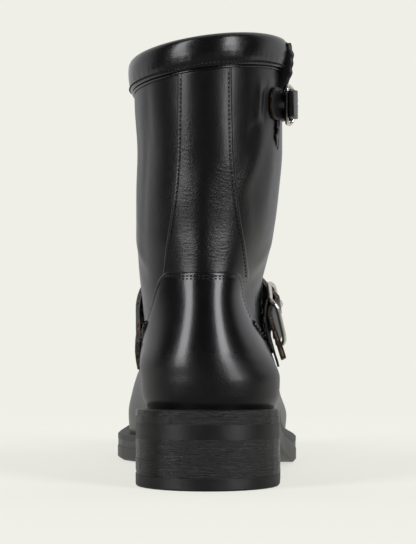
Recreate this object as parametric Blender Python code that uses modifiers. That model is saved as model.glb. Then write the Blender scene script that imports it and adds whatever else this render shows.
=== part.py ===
"""Engineer boot for the right foot: a pull-on boot of black leather on a stacked heel.

Lengths are in millimetres until a mesh is made, and "from the heel" means forwards from the
rearmost point of the sole. The toe points to +Y, the outer side of the foot is +X, and the
boot stands on Z = 0 with the origin under the middle of its heel.
"""
import math
from collections import namedtuple

import bmesh
import bpy
import numpy as np
from mathutils import Vector
from mathutils.bvhtree import BVHTree

MM = 0.001
GAP = 0.3                    # between pieces that meet

# Driving sizes
SOLE_LENGTH = 299.0
HEEL_LENGTH = 72.0           # rear of the sole to the heel breast
HEEL_CENTRE = HEEL_LENGTH / 2
OUTSOLE = 7.4
MIDSOLE = 3.9
WELT = 3.1
INSOLE = 3.6
TOP_LIFT = 6.2
HEEL_LIFTS = (2.1, 6.2, 5.2)     # leather lifts above the rubber one, the last fills the wedge
WALL = 2.2                   # shaft leather and its lining
OVERLAY = 1.5                # vamp and counter leather
BACK_STRIP = 1.1             # leather of the strip down the back of the shaft
SOLE_STACK = OUTSOLE + MIDSOLE + WELT + 2 * GAP

# Underside of the sole, seen from the side: heel seat, shank, flat ball and toe spring
BOTTOM_FROM_HEEL = (0.0, 72.0, 100.0, 130.0, 160.0, 180.0, 216.0, 250.0, 299.0)
BOTTOM_HEIGHT = (26.2, 22.4, 16.8, 8.2, 1.9, 0.0, 0.0, 3.0, 13.0)

# Where the half widths of a section are given, and the sole's own half widths
LATERAL_AT = (38.0, 105.0, 185.0, 255.0)
MEDIAL_AT = (38.0, 112.0, 213.0, 262.0)
SOLE_LATERAL = (38.0, 38.5, 47.4, 38.5)
SOLE_MEDIAL = (38.0, 31.5, 60.6, 55.0)
SOLE_BACK_ROUND = 38.0
SOLE_FRONT_ROUND = 84.0
TOE_POWER = 2.45                 # 2 would be a plain ellipse

# Sections of the upper's outer face, from the feather edge at the welt to the collar
Section = namedtuple(
    "Section",
    "back back_z front front_z dip tilt back_round front_round toe_power "
    "heel_lat waist_lat ball_lat toe_lat heel_med waist_med ball_med toe_med",
)
SECTIONS = (
    Section(6.0, 0, 290.0, 0, 1.0, 0, 36, 84, TOE_POWER, 33.0, 31.5, 38.7, 29.5, 30.0, 25.5, 51.8, 46.5),
    Section(3.6, 49, 292.5, 37, 0.85, 0, 37, 84, TOE_POWER, 36.0, 34.0, 40.0, 31.0, 33.0, 30.0, 52.4, 47.4),
    Section(2.6, 57, 292.0, 47.5, 0.7, 0, 39, 86, TOE_POWER, 36.4, 34.0, 36.4, 30.5, 33.7, 32.5, 50.2, 47.0),
    Section(2.8, 64, 286.0, 56.5, 0.52, 0, 42, 92, 2.4, 34.0, 33.0, 34.2, 28.5, 34.5, 33.8, 46.7, 44.0),
    Section(3.9, 71, 272.0, 63, 0.35, 0, 45, 98, 2.35, 31.2, 31.5, 31.8, 26.0, 34.2, 34.5, 42.2, 40.0),
    Section(5.4, 78, 250.0, 67.5, 0.2, 0, 48, 104, 2.3, 28.6, 30.0, 29.0, 24.5, 34.0, 35.0, 38.5, 36.5),
    Section(7.0, 85, 225.0, 71.5, 0.1, 0, 52, 106, 2.2, 26.4, 28.6, 26.8, 23.0, 34.1, 35.5, 36.0, 34.0),
    Section(8.6, 92, 200.0, 78.5, 0.04, 0, 56, 104, 2.1, 24.9, 27.6, 25.5, 23.5, 34.6, 36.0, 34.5, 33.5),
    Section(10.0, 99, 177.0, 90, 0, 0, 60, 96, 2.0, 24.2, 27.2, 26.0, 25.0, 35.5, 36.9, 34.8, 33.8),
    Section(11.0, 107, 157.0, 104.5, 0, 0, 64, 80, 2.0, 26.4, 28.4, 27.6, 27.0, 37.3, 37.9, 36.4, 36.0),
    Section(11.5, 117, 143.0, 122.5, 0, 0, 65, 66, 2.0, 31.2, 31.6, 31.4, 31.4, 38.8, 39.0, 38.8, 38.8),
    Section(11.3, 130, 135.0, 141, 0, 0, 62, 62, 2.0, 34.7, 34.8, 34.8, 34.8, 39.7, 39.7, 39.7, 39.7),
    Section(10.0, 148, 131.0, 162, 0, 0, 60, 61, 2.0, 37.2, 37.2, 37.2, 37.2, 39.6, 39.6, 39.6, 39.6),
    Section(7.8, 172, 129.0, 184, 0, 0, 60, 61, 2.0, 39.2, 39.2, 39.2, 39.2, 38.8, 38.8, 38.8, 38.8),
    Section(5.8, 198, 128.5, 204, 0, 0.04, 61, 61, 2.0, 39.3, 39.3, 39.3, 39.3, 40.0, 40.0, 40.0, 40.0),
    Section(3.6, 230.4, 129.0, 224, 0, 0.13, 62, 63, 2.0, 40.9, 40.9, 40.9, 40.9, 40.7, 40.7, 40.7, 40.7),
)
COLLAR = len(SECTIONS) - 1       # level of the last section
HEEL_LINE = -1.2                 # x of the line down the back of the heel, above the counter's swell
HEEL_LINE_REACH = 17.0           # how far forwards a section bends to reach that line
FOOT_LEVELS = np.linspace(0, 11, 17)
LEVELS = np.concatenate([FOOT_LEVELS, np.linspace(11, COLLAR, 7)[1:]])
AROUND = np.arange(36) / 36      # 0 back, 0.25 outer side, 0.5 toe or shin, 0.75 inner side

# Edges of the overlays, seen from the side: distance from the heel and height
COUNTER_EDGE_Z = (22.0, 40.0, 51.0, 61.0, 69.0, 75.0, 80.0, 85.5, 93.0, 101.0, 107.5, 111.5, 112.6)
COUNTER_EDGE = (100.0, 87.0, 74.0, 62.0, 52.0, 44.5, 38.0, 33.0, 28.5, 25.0, 21.0, 16.0, 10.0)
VAMP_TOP = (46.0, 70.0, 90.0, 104.0, 114.0, 122.0, 130.0, 160.0)
VAMP_TOP_Z = (58.0, 76.0, 92.0, 108.0, 124.0, 136.0, 143.0, 150.0)

# Strip down the back of the shaft, seen from behind
STRIP_HEIGHT = (112.0, 125.0, 140.0, 155.0, 175.0, 225.0)
STRIP_HALF = (21.6, 20.0, 17.6, 15.6, 14.2, 13.4)
STRIP_FRONT = 34.0               # the cutter stops here, from the heel

# Collar band, bead and the slit with its gusset
BAND_HEIGHT = 14.5
BAND_LEATHER = 2.3
BEAD_RADIUS = 0.75
SLIT_TOP = 53.0                  # middle of the slit from the heel, at the collar
SLIT_BOTTOM = 46.0
SLIT_BOTTOM_Z = 177.0
SLIT_TOP_WIDTH = 12.0
SLIT_BOTTOM_WIDTH = 2.0
GUSSET_LEATHER = 1.2
GUSSET_OUT = (212.0, 226.0)      # heights between which the fold comes out of the slit
GUSSET_PEAK = 6.6

# Straps lie in planes that rise towards the shin
Plane = namedtuple("Plane", "at height slope")
INSTEP_PLANE = Plane(78.0, 77.0, 0.46)
TOP_PLANE = Plane(60.0, 200.8, 0.03)
Buckle = namedtuple("Buckle", "length width wire bar_out rail_out rear_out front_out")
INSTEP_BUCKLE = Buckle(29.0, 29.0, 1.35, 4.3, 5.2, 9.0, 8.8)
TOP_BUCKLE = Buckle(17.0, 20.5, 0.95, 3.6, 4.2, 4.8, 6.2)
INSTEP_STRAP_WIDTH = 22.0
INSTEP_STRAP = 2.6
TOP_STRAP_WIDTH = 15.5
TOP_STRAP = 2.9
CHAPE = 1.2
LIE = 0.6                        # a strap's underside over the leather it lies on


def smooth(knots, values, at):
    """Values of a smooth curve through (knots, values) that never overshoots them."""
    knots, values = np.asarray(knots, float), np.asarray(values, float)
    at = np.clip(np.asarray(at, float), knots[0], knots[-1])
    step = np.diff(knots)
    step = step.reshape((-1,) + (1,) * (values.ndim - 1))
    chord = np.diff(values, axis=0) / step
    slope = np.zeros_like(values)
    slope[0], slope[-1] = chord[0], chord[-1]
    product = chord[:-1] * chord[1:]
    total = np.where(product > 0, chord[:-1] + chord[1:], 1.0)
    slope[1:-1] = np.where(product > 0, 2 * product / total, 0.0)
    left = np.clip(np.searchsorted(knots, at, side="right") - 1, 0, len(knots) - 2)
    width = knots[left + 1] - knots[left]
    share = (at - knots[left]) / width
    if values.ndim > 1:
        share, width = share[..., None], width[..., None]
    return (
        (1 + 2 * share) * (1 - share) ** 2 * values[left]
        + share * (1 - share) ** 2 * width * slope[left]
        + share ** 2 * (3 - 2 * share) * values[left + 1]
        + share ** 2 * (share - 1) * width * slope[left + 1]
    )


def sole_bottom(from_heel):
    return smooth(BOTTOM_FROM_HEEL, BOTTOM_HEIGHT, from_heel)


def sole_top(from_heel):
    """Top of the welt, on which the upper stands."""
    return sole_bottom(from_heel) + SOLE_STACK


def end_round(distance, length, power=2.0):
    """1 along the body of a section, falling to 0 at its end on an ellipse."""
    short = np.clip(1 - np.clip(distance, 0, None) / length, 0, 1)
    return (1 - short ** power) ** (1 / power)


def section_at(level):
    rows = [list(row) for row in SECTIONS]
    first = SECTIONS[0]
    rows[0][1] = float(sole_top(first.back)) + 2 * GAP
    rows[0][3] = float(sole_top(first.front)) + 2 * GAP
    return Section(*smooth(np.arange(len(rows)), rows, level))


def outline(share, side, back, front, lateral, medial, back_round, front_round, power):
    """x and y of one flat outline; share runs from its back to its front."""
    y = back + share * (front - back)
    right = smooth(LATERAL_AT, lateral, y)
    left = -smooth(MEDIAL_AT, medial, y)
    half = (right - left) / 2
    half = half * end_round(y - back, back_round) * end_round(front - y, front_round, power)
    return (right + left) / 2 + side * half, y


def ring(level, around):
    """Points of the upper's outer face at one level."""
    s = section_at(level)
    turn = 2 * math.pi * np.asarray(around, float)
    share = (1 - np.cos(turn)) / 2
    side = np.where(np.sin(turn) >= 0, 1.0, -1.0)
    x, y = outline(
        share, side, s.back, s.front,
        (s.heel_lat, s.waist_lat, s.ball_lat, s.toe_lat),
        (s.heel_med, s.waist_med, s.ball_med, s.toe_med),
        s.back_round, s.front_round, s.toe_power,
    )
    off_line = max(HEEL_LINE - (s.heel_lat - s.heel_med) / 2, 0.0)
    x = x + off_line * np.exp(-((y - s.back) / HEEL_LINE_REACH) ** 2)
    chord = sole_top(s.back) + share * (sole_top(s.front) - sole_top(s.back))
    z = s.back_z + share * (s.front_z - s.back_z) + s.dip * (sole_top(y) - chord) + s.tilt * x
    return np.stack([x, y, z], axis=-1)


def unit(vectors):
    return vectors / np.linalg.norm(vectors, axis=-1, keepdims=True)


def ring_normals(level, around):
    small = 1e-3
    around = np.asarray(around, float)
    along = ring(level, around + small) - ring(level, around - small)
    low, high = max(level - small, 0), min(level + small, COLLAR)
    up = ring(high, around) - ring(low, around)
    return unit(np.cross(along, up))


def form(levels, around, out):
    """Grid of points on the upper's face moved outwards by out."""
    return np.array([ring(v, around) + out * ring_normals(v, around) for v in levels])


def world(points):
    """Millimetres from the heel into metres from the origin."""
    return (np.asarray(points, float) - (0.0, HEEL_CENTRE, 0.0)) * MM


def material(name, colour, roughness, metallic=0.0):
    made = bpy.data.materials.get(name) or bpy.data.materials.new(name)
    made.use_nodes = True
    shader = made.node_tree.nodes["Principled BSDF"]
    shader.inputs["Base Color"].default_value = (*colour, 1.0)
    shader.inputs["Roughness"].default_value = roughness
    shader.inputs["Metallic"].default_value = metallic
    return made


def add_object(name, bm, collection, finish=None):
    mesh = bpy.data.meshes.new(name)
    bm.to_mesh(mesh)
    bm.free()
    made = bpy.data.objects.new(name, mesh)
    collection.objects.link(made)
    if finish:
        mesh.materials.append(finish)
    return made


def grid_object(name, grid, collection, finish, closed):
    """Open surface over a grid of points, split into triangles the same way everywhere."""
    bm = bmesh.new()
    rows = [[bm.verts.new(p) for p in row] for row in world(grid)]
    count = len(rows[0])
    for low, high in zip(rows, rows[1:]):
        for i in range(count if closed else count - 1):
            j = (i + 1) % count
            bm.faces.new((low[i], low[j], high[j]))
            bm.faces.new((low[i], high[j], high[i]))
    return add_object(name, bm, collection, finish)


def solidify(made, thickness, offset):
    wall = made.modifiers.new("Wall", "SOLIDIFY")
    wall.thickness = thickness * MM
    wall.offset = offset
    wall.use_even_offset = True
    return made


def boolean(made, cutter, operation):
    cut = made.modifiers.new(cutter.name, "BOOLEAN")
    cut.object = cutter
    cut.operation = operation
    return made


def prism(name, outline_points, axis, low, high, cutters):
    """Cutter with a flat outline, extruded along X (axis 0) or Y (axis 1)."""
    bm = bmesh.new()
    ends = []
    for depth in (low, high):
        points = [(depth, a, b) if axis == 0 else (a, depth, b) for a, b in outline_points]
        ends.append([bm.verts.new(p) for p in world(points)])
    bm.faces.new(ends[0])
    bm.faces.new(ends[1])
    count = len(outline_points)
    for i in range(count):
        j = (i + 1) % count
        bm.faces.new((ends[0][i], ends[0][j], ends[1][j], ends[1][i]))
    bmesh.ops.recalc_face_normals(bm, faces=bm.faces)
    made = add_object(name, bm, cutters)
    made.hide_render = True
    made.display_type = "WIRE"
    return made


def loft(name, loops, collection, finish, closed=False):
    """Solid through closed loops of points, with flat ends unless it closes on itself."""
    bm = bmesh.new()
    rows = [[bm.verts.new(p) for p in loop] for loop in world(loops)]
    pairs = list(zip(rows, rows[1:]))
    if closed:
        pairs.append((rows[-1], rows[0]))
    count = len(rows[0])
    for low, high in pairs:
        for i in range(count):
            j = (i + 1) % count
            bm.faces.new((low[i], low[j], high[j], high[i]))
    if not closed:
        bm.faces.new(rows[0][::-1])
        bm.faces.new(rows[-1])
    bmesh.ops.recalc_face_normals(bm, faces=bm.faces)
    return add_object(name, bm, collection, finish)


def slab(name, plan, layers, collection, finish):
    """Flat piece of the sole. plan(inset) gives its outline, with the outer side first and then
    the inner side, both from back to front; layers holds (inset, height function) bottom up."""
    bm = bmesh.new()
    rows = []
    for inset, height in layers:
        lateral, medial = plan(inset)
        loop = np.concatenate([lateral, medial[1:-1][::-1]])
        points = np.column_stack([loop, height(loop[:, 1])])
        rows.append([bm.verts.new(p) for p in world(points)])
    count = len(rows[0])
    for low, high in zip(rows, rows[1:]):
        for i in range(count):
            j = (i + 1) % count
            bm.faces.new((low[i], low[j], high[j], high[i]))
    for row in (rows[0], rows[-1]):
        for i in range(count // 2):
            corners = dict.fromkeys((row[i], row[i + 1], row[-i - 1], row[-i % count]))
            bm.faces.new(list(corners))
    bmesh.ops.recalc_face_normals(bm, faces=bm.faces)
    return add_object(name, bm, collection, finish)


def tube(name, points, radius, collection, finish, cyclic=False, rings=1):
    """Wire or bead along a line of points, as a mesh with welded ends."""
    curve = bpy.data.curves.new(name, "CURVE")
    curve.dimensions = "3D"
    curve.bevel_depth = radius * MM
    curve.bevel_resolution = rings
    curve.use_fill_caps = not cyclic
    spline = curve.splines.new("POLY")
    spline.points.add(len(points) - 1)
    for target, point in zip(spline.points, world(points)):
        target.co = (*point, 1.0)
    spline.use_cyclic_u = cyclic
    source = bpy.data.objects.new(name + "_line", curve)
    collection.objects.link(source)
    depsgraph = bpy.context.evaluated_depsgraph_get()
    mesh = bpy.data.meshes.new_from_object(source.evaluated_get(depsgraph))
    bm = bmesh.new()
    bm.from_mesh(mesh)
    bmesh.ops.remove_doubles(bm, verts=bm.verts, dist=1e-6)
    bmesh.ops.recalc_face_normals(bm, faces=bm.faces)
    bpy.data.objects.remove(source)
    bpy.data.meshes.remove(mesh)
    return add_object(name, bm, collection, finish)


def sole_plan(margin, front=SOLE_LENGTH, count=24):
    """Outline of the sole moved inwards by an inset on top of a margin."""
    def plan(inset):
        inwards = margin + inset
        share = (1 - np.cos(np.linspace(0, math.pi, count + 1))) / 2
        sides = []
        for side in (1, -1):
            x, y = outline(
                share, side, inwards, front - inwards,
                np.array(SOLE_LATERAL) - inwards, np.array(SOLE_MEDIAL) - inwards,
                SOLE_BACK_ROUND - inwards / 2, SOLE_FRONT_ROUND - inwards / 2, TOE_POWER,
            )
            sides.append(np.column_stack([x, y]))
        return sides
    return plan


def heel_plan(margin, count=12):
    """Outline of the heel block: the rear of the sole, cut off straight at the breast."""
    def plan(inset):
        inwards = margin + inset
        share = (1 - np.cos(np.linspace(0, 0.62 * math.pi, count + 1)))
        share = share / share[-1]
        reach = (HEEL_LENGTH - inwards) / SOLE_LENGTH
        sides = []
        for side in (1, -1):
            x, y = outline(
                share * reach, side, inwards, SOLE_LENGTH,
                np.array(SOLE_LATERAL) - inwards, np.array(SOLE_MEDIAL) - inwards,
                SOLE_BACK_ROUND - inwards / 2, SOLE_FRONT_ROUND, TOE_POWER,
            )
            rows = np.column_stack([x, y])
            sides.append(rows)
        breast = [sides[0][-1] * 0.4 + sides[1][-1] * 0.6]
        return [np.vstack([sides[0], breast]), np.vstack([sides[1], breast])]
    return plan


def make_heel(collection, leather, rubber):
    """Rubber top lift on the floor, then leather lifts up to the sloping seat."""
    flat = lambda height: (lambda y: np.full_like(y, height))
    slab("heel_top_lift", heel_plan(0.0),
         [(0.6, flat(0.0)), (0.0, flat(0.8)), (0.0, flat(TOP_LIFT - GAP))], collection, rubber)
    base = TOP_LIFT
    insets = (0.25, 0.0, 0.2, 0.1)
    for number, thickness in enumerate(HEEL_LIFTS):
        slab(f"heel_lift_{number + 1}", heel_plan(insets[number]),
             [(0.0, flat(base)), (0.0, flat(base + thickness - GAP))], collection, leather)
        base += thickness
    slab("heel_wedge_lift", heel_plan(insets[-1]),
         [(0.0, flat(base)), (0.0, lambda y: sole_bottom(y) - GAP)], collection, leather)


def make_sole(collection, leather, rubber, lining):
    outsole_top = lambda y: sole_bottom(y) + OUTSOLE
    midsole_low = lambda y: outsole_top(y) + GAP
    midsole_top = lambda y: midsole_low(y) + MIDSOLE
    welt_low = lambda y: midsole_top(y) + GAP
    slab("outsole", sole_plan(0.0),
         [(1.2, sole_bottom), (0.0, lambda y: sole_bottom(y) + 1.2), (0.0, outsole_top)],
         collection, rubber)
    slab("midsole", sole_plan(0.3), [(0.0, midsole_low), (0.0, midsole_top)], collection, leather)
    make_welt("welt", HEEL_LENGTH + 2, SOLE_LENGTH, welt_low, collection, leather)
    make_welt("heel_rand", 0.0, HEEL_LENGTH + 2 - GAP, welt_low, collection, leather)
    around = np.linspace(0, 1, 49)
    edge = form([0], around, -(WALL + GAP))[0]
    half = len(around) // 2
    sides = [edge[:half + 1, :2], edge[half:, :2][::-1]]
    slab("insole", lambda inset: sides, [(0.0, welt_low), (0.0, lambda y: welt_low(y) + INSOLE)],
         collection, lining)


def make_welt(name, start, stop, low, collection, finish):
    """Strip around the edge of the sole from start to stop, measured from the heel."""
    fine = np.linspace(0, 1, 241)
    inner = form([0], fine, -(WALL - 0.4))[0][:, :2]
    lateral, medial = sole_plan(0.15, count=120)(0.0)
    outer = np.concatenate([lateral, medial[:-1][::-1]])
    inside = (outer[:, 1] >= start) & (outer[:, 1] <= stop)
    picked = np.flatnonzero(inside)
    if start > 0:
        order = picked[::5]
    else:
        order = np.concatenate([picked[picked > 120], picked[picked <= 120]])[::4]
    loops = []
    for i in order:
        ox, oy = outer[i]
        ix, iy = inner[i]
        loops.append([
            (ix, iy, low(iy)), (ox, oy, low(oy)),
            (ox, oy, low(oy) + WELT - 0.5), (ox + (ix - ox) * 0.06, oy + (iy - oy) * 0.06, low(oy) + WELT),
            (ix, iy, low(iy) + WELT),
        ])
    return loft(name, loops, collection, finish)


def side_outline(edge, edge_z, step=1.0):
    """Smooth line through an overlay's edge, as points seen from the side."""
    heights = np.linspace(edge_z[0], edge_z[-1], int((edge_z[-1] - edge_z[0]) / 5 / step) + 1)
    return list(zip(smooth(edge_z, edge, heights), heights))


def sole_line(start, stop):
    """Line just above the welt, seen from the side."""
    at = np.linspace(start, stop, 18)
    return list(zip(at, sole_top(at) + 3 * GAP))


def counter_cutter(name, margin, cutters):
    """Region of the heel counter, seen from the side, or with a margin the clearance for it."""
    line = [(y + margin, z + margin / 2) for y, z in side_outline(COUNTER_EDGE, COUNTER_EDGE_Z)]
    if margin:
        base = [(-30.0, 0.0), (line[0][0], 0.0)]
    else:
        line = [p for p in line if p[1] > sole_top(p[0]) + 3 * GAP + 1]
        base = sole_line(-30.0, line[0][0] + 1.0)
    return prism(name, [*line, (-30.0, line[-1][1]), *base], 0, -70, 70, cutters)


def make_upper(collection, cutters, leather):
    """Shaft and foot as one hollow wall, open at the collar and above the welt."""
    upper = grid_object("upper", form(LEVELS, AROUND, 0.0), collection, leather, True)
    solidify(upper, WALL, -1)
    slit = [
        (SLIT_BOTTOM - SLIT_BOTTOM_WIDTH / 2, SLIT_BOTTOM_Z),
        (SLIT_BOTTOM + SLIT_BOTTOM_WIDTH / 2, SLIT_BOTTOM_Z),
        (slit_middle(250.0) + slit_width(250.0) / 2, 250.0),
        (slit_middle(250.0) - slit_width(250.0) / 2, 250.0),
    ]
    boolean(upper, prism("slit_cutter", slit, 0, 15, 70, cutters), "DIFFERENCE")

    counter = grid_object("counter", form(FOOT_LEVELS, AROUND, GAP), collection, leather, True)
    solidify(counter, OVERLAY, 1)
    boolean(counter, counter_cutter("counter_cutter", 0.0, cutters), "INTERSECT")

    vamp = grid_object("vamp", form(LEVELS[:20], AROUND, GAP), collection, leather, True)
    solidify(vamp, OVERLAY, 1)
    top = np.linspace(VAMP_TOP[0], VAMP_TOP[-1], 24)
    line = list(zip(top, smooth(VAMP_TOP, VAMP_TOP_Z, top)))
    line = [*line, (320.0, VAMP_TOP_Z[-1]), *sole_line(320.0, VAMP_TOP[0])]
    boolean(vamp, prism("vamp_cutter", line, 0, -70, 70, cutters), "INTERSECT")
    boolean(vamp, counter_cutter("counter_clearance", GAP, cutters), "DIFFERENCE")

    strip = grid_object("back_strip", form(LEVELS[13:], AROUND, GAP), collection, leather, True)
    solidify(strip, BACK_STRIP, 1)
    collar = SECTIONS[COLLAR]
    top = collar.back_z - BAND_HEIGHT - 2 * BEAD_RADIUS - 3 * GAP
    heights = np.linspace(STRIP_HEIGHT[0] + 1.2, top, 12)
    halves = smooth(STRIP_HEIGHT, STRIP_HALF, heights)
    right = list(zip(halves - 0.5, heights))
    left = list(zip(-halves - 0.5, heights))
    right[-1] = (right[-1][0], top + collar.tilt * right[-1][0])
    left[-1] = (left[-1][0], top + collar.tilt * left[-1][0])
    boolean(strip, prism("strip_cutter", right + left[::-1], 1, -20, STRIP_FRONT, cutters), "INTERSECT")
    boolean(strip, counter_cutter("strip_clearance", GAP, cutters), "DIFFERENCE")


def below_collar(around, drop):
    """Point of the upper's face a given distance under the collar, with its level."""
    top = ring(COLLAR, [around])[0]
    low, high = COLLAR - 2.0, float(COLLAR)
    for _ in range(30):
        middle = (low + high) / 2
        if np.linalg.norm(top - ring(middle, [around])[0]) > drop:
            low = middle
        else:
            high = middle
    return middle


def slit_middle(z):
    share = (z - SLIT_BOTTOM_Z) / (232.0 - SLIT_BOTTOM_Z)
    return SLIT_BOTTOM + share * (SLIT_TOP - SLIT_BOTTOM)


def slit_width(z):
    share = (z - SLIT_BOTTOM_Z) / (232.0 - SLIT_BOTTOM_Z)
    return SLIT_BOTTOM_WIDTH + share * (SLIT_TOP_WIDTH - SLIT_BOTTOM_WIDTH)


def collar_around(from_heel):
    """Place around the collar, on the outer side, at a distance from the heel."""
    s = SECTIONS[COLLAR]
    share = (from_heel - s.back) / (s.front - s.back)
    return math.acos(1 - 2 * share) / (2 * math.pi)


def make_collar(collection, leather, lining):
    """Folded band over the collar with a bead under it, open at the slit."""
    start = collar_around(SLIT_TOP + SLIT_TOP_WIDTH / 2 - 0.5)
    stop = 1 + collar_around(SLIT_TOP - SLIT_TOP_WIDTH / 2 + 0.5)
    outer = GAP + BAND_LEATHER
    profile = (                  # drop under the collar, and out from the face
        (BAND_HEIGHT, GAP), (BAND_HEIGHT, outer - 0.5), (BAND_HEIGHT - 1.5, outer),
        (BAND_HEIGHT * 0.5, outer + 0.5), (1.2, outer + 0.2), (-1.3, outer - 1.3),
        (-2.0, -0.4), (-1.4, -WALL + 0.3), (-GAP, -WALL - 0.2), (-GAP, GAP),
    )
    loops = []
    for around in np.linspace(start, stop, 40):
        loop = []
        for drop, out in profile:
            level = below_collar(around, max(drop, 0.0))
            point = ring(level, [around])[0] + out * ring_normals(level, [around])[0]
            point[2] += max(-drop, 0.0)
            loop.append(point)
        loops.append(loop)
    loft("collar_band", loops, collection, leather)

    line = []
    for around in np.linspace(start + 0.003, stop - 0.003, 44):
        level = below_collar(around, BAND_HEIGHT + GAP + BEAD_RADIUS)
        out = GAP + BEAD_RADIUS
        line.append(ring(level, [around])[0] + out * ring_normals(level, [around])[0])
    tube("collar_bead", line, BEAD_RADIUS, collection, leather)

    rows = []
    inside = -(WALL + 3 * GAP + GUSSET_LEATHER / 2)
    for z in np.linspace(SLIT_BOTTOM_Z - 8, 229.0, 13):
        middle, width = slit_middle(z), max(slit_width(z), SLIT_BOTTOM_WIDTH)
        push = np.clip((z - GUSSET_OUT[0]) / (GUSSET_OUT[1] - GUSSET_OUT[0]), 0, 1)
        peak = inside + (GUSSET_PEAK - inside) * push
        half = max(width / 2 - 1.4, 0.7)
        fold = ((-half - 7, inside), (-half, inside), (-0.9, peak - 0.5), (0.0, peak),
                (0.9, peak - 0.5), (half, inside), (half + 7, inside))
        rows.append([side_point(middle + along, z, out)[0] for along, out in fold])
    gusset = grid_object("gusset", np.array(rows), collection, lining, False)
    solidify(gusset, GUSSET_LEATHER, 0)


def side_point(from_heel, z, out, side=1):
    """Point beside the boot at a distance from the heel and a height, moved outwards."""
    low, high = 0.0, float(COLLAR)
    for _ in range(40):
        level = (low + high) / 2
        s = section_at(level)
        share = np.clip((from_heel - s.back) / (s.front - s.back), 0.001, 0.999)
        around = math.acos(1 - 2 * share) / (2 * math.pi)
        around = around if side > 0 else 1 - around
        if ring(level, [around])[0][2] < z:
            low = level
        else:
            high = level
    normal = ring_normals(level, [around])[0]
    point = ring(level, [around])[0]
    point[2] = z
    return point + out * normal, normal


Path = namedtuple("Path", "points normals sides along skin")


def skin_tree(levels, out):
    """The faces of the upper moved outwards, for laying a strap on them."""
    grid = form(levels, AROUND, out)
    rows, count = grid.shape[:2]
    faces = []
    for r in range(rows - 1):
        for i in range(count):
            j = (i + 1) % count
            low, high = r * count, (r + 1) * count
            faces.append((low + i, low + j, high + j))
            faces.append((low + i, high + j, high + i))
    return BVHTree.FromPolygons([tuple(p) for p in grid.reshape(-1, 3)], faces)


def plane_path(plane, start, stop, zero_at, step, out):
    """Line where a plane cuts the upper, from one place around it to another, on its face moved
    outwards by out. Its length is counted from where it passes zero_at on the outer side."""
    points, normals = [], []
    for around in np.linspace(start, stop, 160):
        low, high = 0.0, float(COLLAR)
        for _ in range(36):
            level = (low + high) / 2
            x, y, z = ring(level, [around])[0]
            if z < plane.height + plane.slope * (y - plane.at):
                low = level
            else:
                high = level
        normals.append(ring_normals(level, [around])[0])
        points.append(ring(level, [around])[0] + out * normals[-1])
    points, normals = np.array(points), np.array(normals)
    length = np.concatenate([[0], np.cumsum(np.linalg.norm(np.diff(points, axis=0), axis=1))])
    beside = np.flatnonzero(points[:, 0] > 10)
    zero = length[beside[np.argmin(abs(points[beside, 1] - zero_at))]]
    along = np.arange(length[0], length[-1] + 1e-6, step)
    points = np.column_stack([np.interp(along, length, points[:, k]) for k in range(3)])
    normals = unit(np.column_stack([np.interp(along, length, normals[:, k]) for k in range(3)]))
    tangents = unit(np.gradient(points, axis=0))
    skin = skin_tree(LEVELS, out)
    return Path(points, normals, unit(np.cross(normals, tangents)), along - zero, skin)


def on_path(path, along, out, across=0.0):
    """Point at a length along a strap's path, moved out from the leather and across the strap."""
    def at(values):
        return np.array([np.interp(along, path.along, values[:, k]) for k in range(3)])
    normal = unit(at(path.normals))
    return at(path.points) + out * normal + across * unit(at(path.sides))


def laid(path, along, out, across, height=0.0):
    """Like on_path, but following the leather away from a buckle and never sinking into it."""
    flat = on_path(path, along, out, across)
    normal = unit(on_path(path, along, 1.0) - on_path(path, along, 0.0))
    hit = path.skin.ray_cast(Vector(flat + 25 * normal), Vector(-normal))[0]
    if hit is not None:
        clear = float(np.dot(flat - np.array(hit), normal))
        follow = np.clip((abs(along) - 22) / 12, 0, 1)
        flat = np.array(hit) + max(LIE, clear + follow * (out - clear)) * normal
    return flat + height * normal


def ribbon(name, path, stations, width, thickness, collection, finish, lean=0.0):
    """Flat strap. stations holds (length along the path, out, share of the width)."""
    loops = []
    for along, out, share in stations:
        half = width / 2 * share
        lower = [laid(path, along + lean * a, out, a) for a in np.linspace(-half, half, 5)]
        inset = half - 0.35
        upper = [laid(path, along + lean * a, out, a, thickness)
                 for a in np.linspace(inset, -inset, 5)]
        loops.append(lower + upper)
    return loft(name, loops, collection, finish)


def strap_stations(knots, outs, start, stop, step, tip=0.0, square=0.75):
    """Stations between start and stop; the last length of tip narrows to a blunt point."""
    lengths = np.linspace(start, stop, max(2, int(round(abs(stop - start) / step)) + 1))
    shares = 1 - (1 - square) * np.clip((lengths - (stop - tip)) / max(tip, 1e-6), 0, 1) ** 2
    return list(zip(lengths, smooth(knots, outs, lengths), shares))


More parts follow.
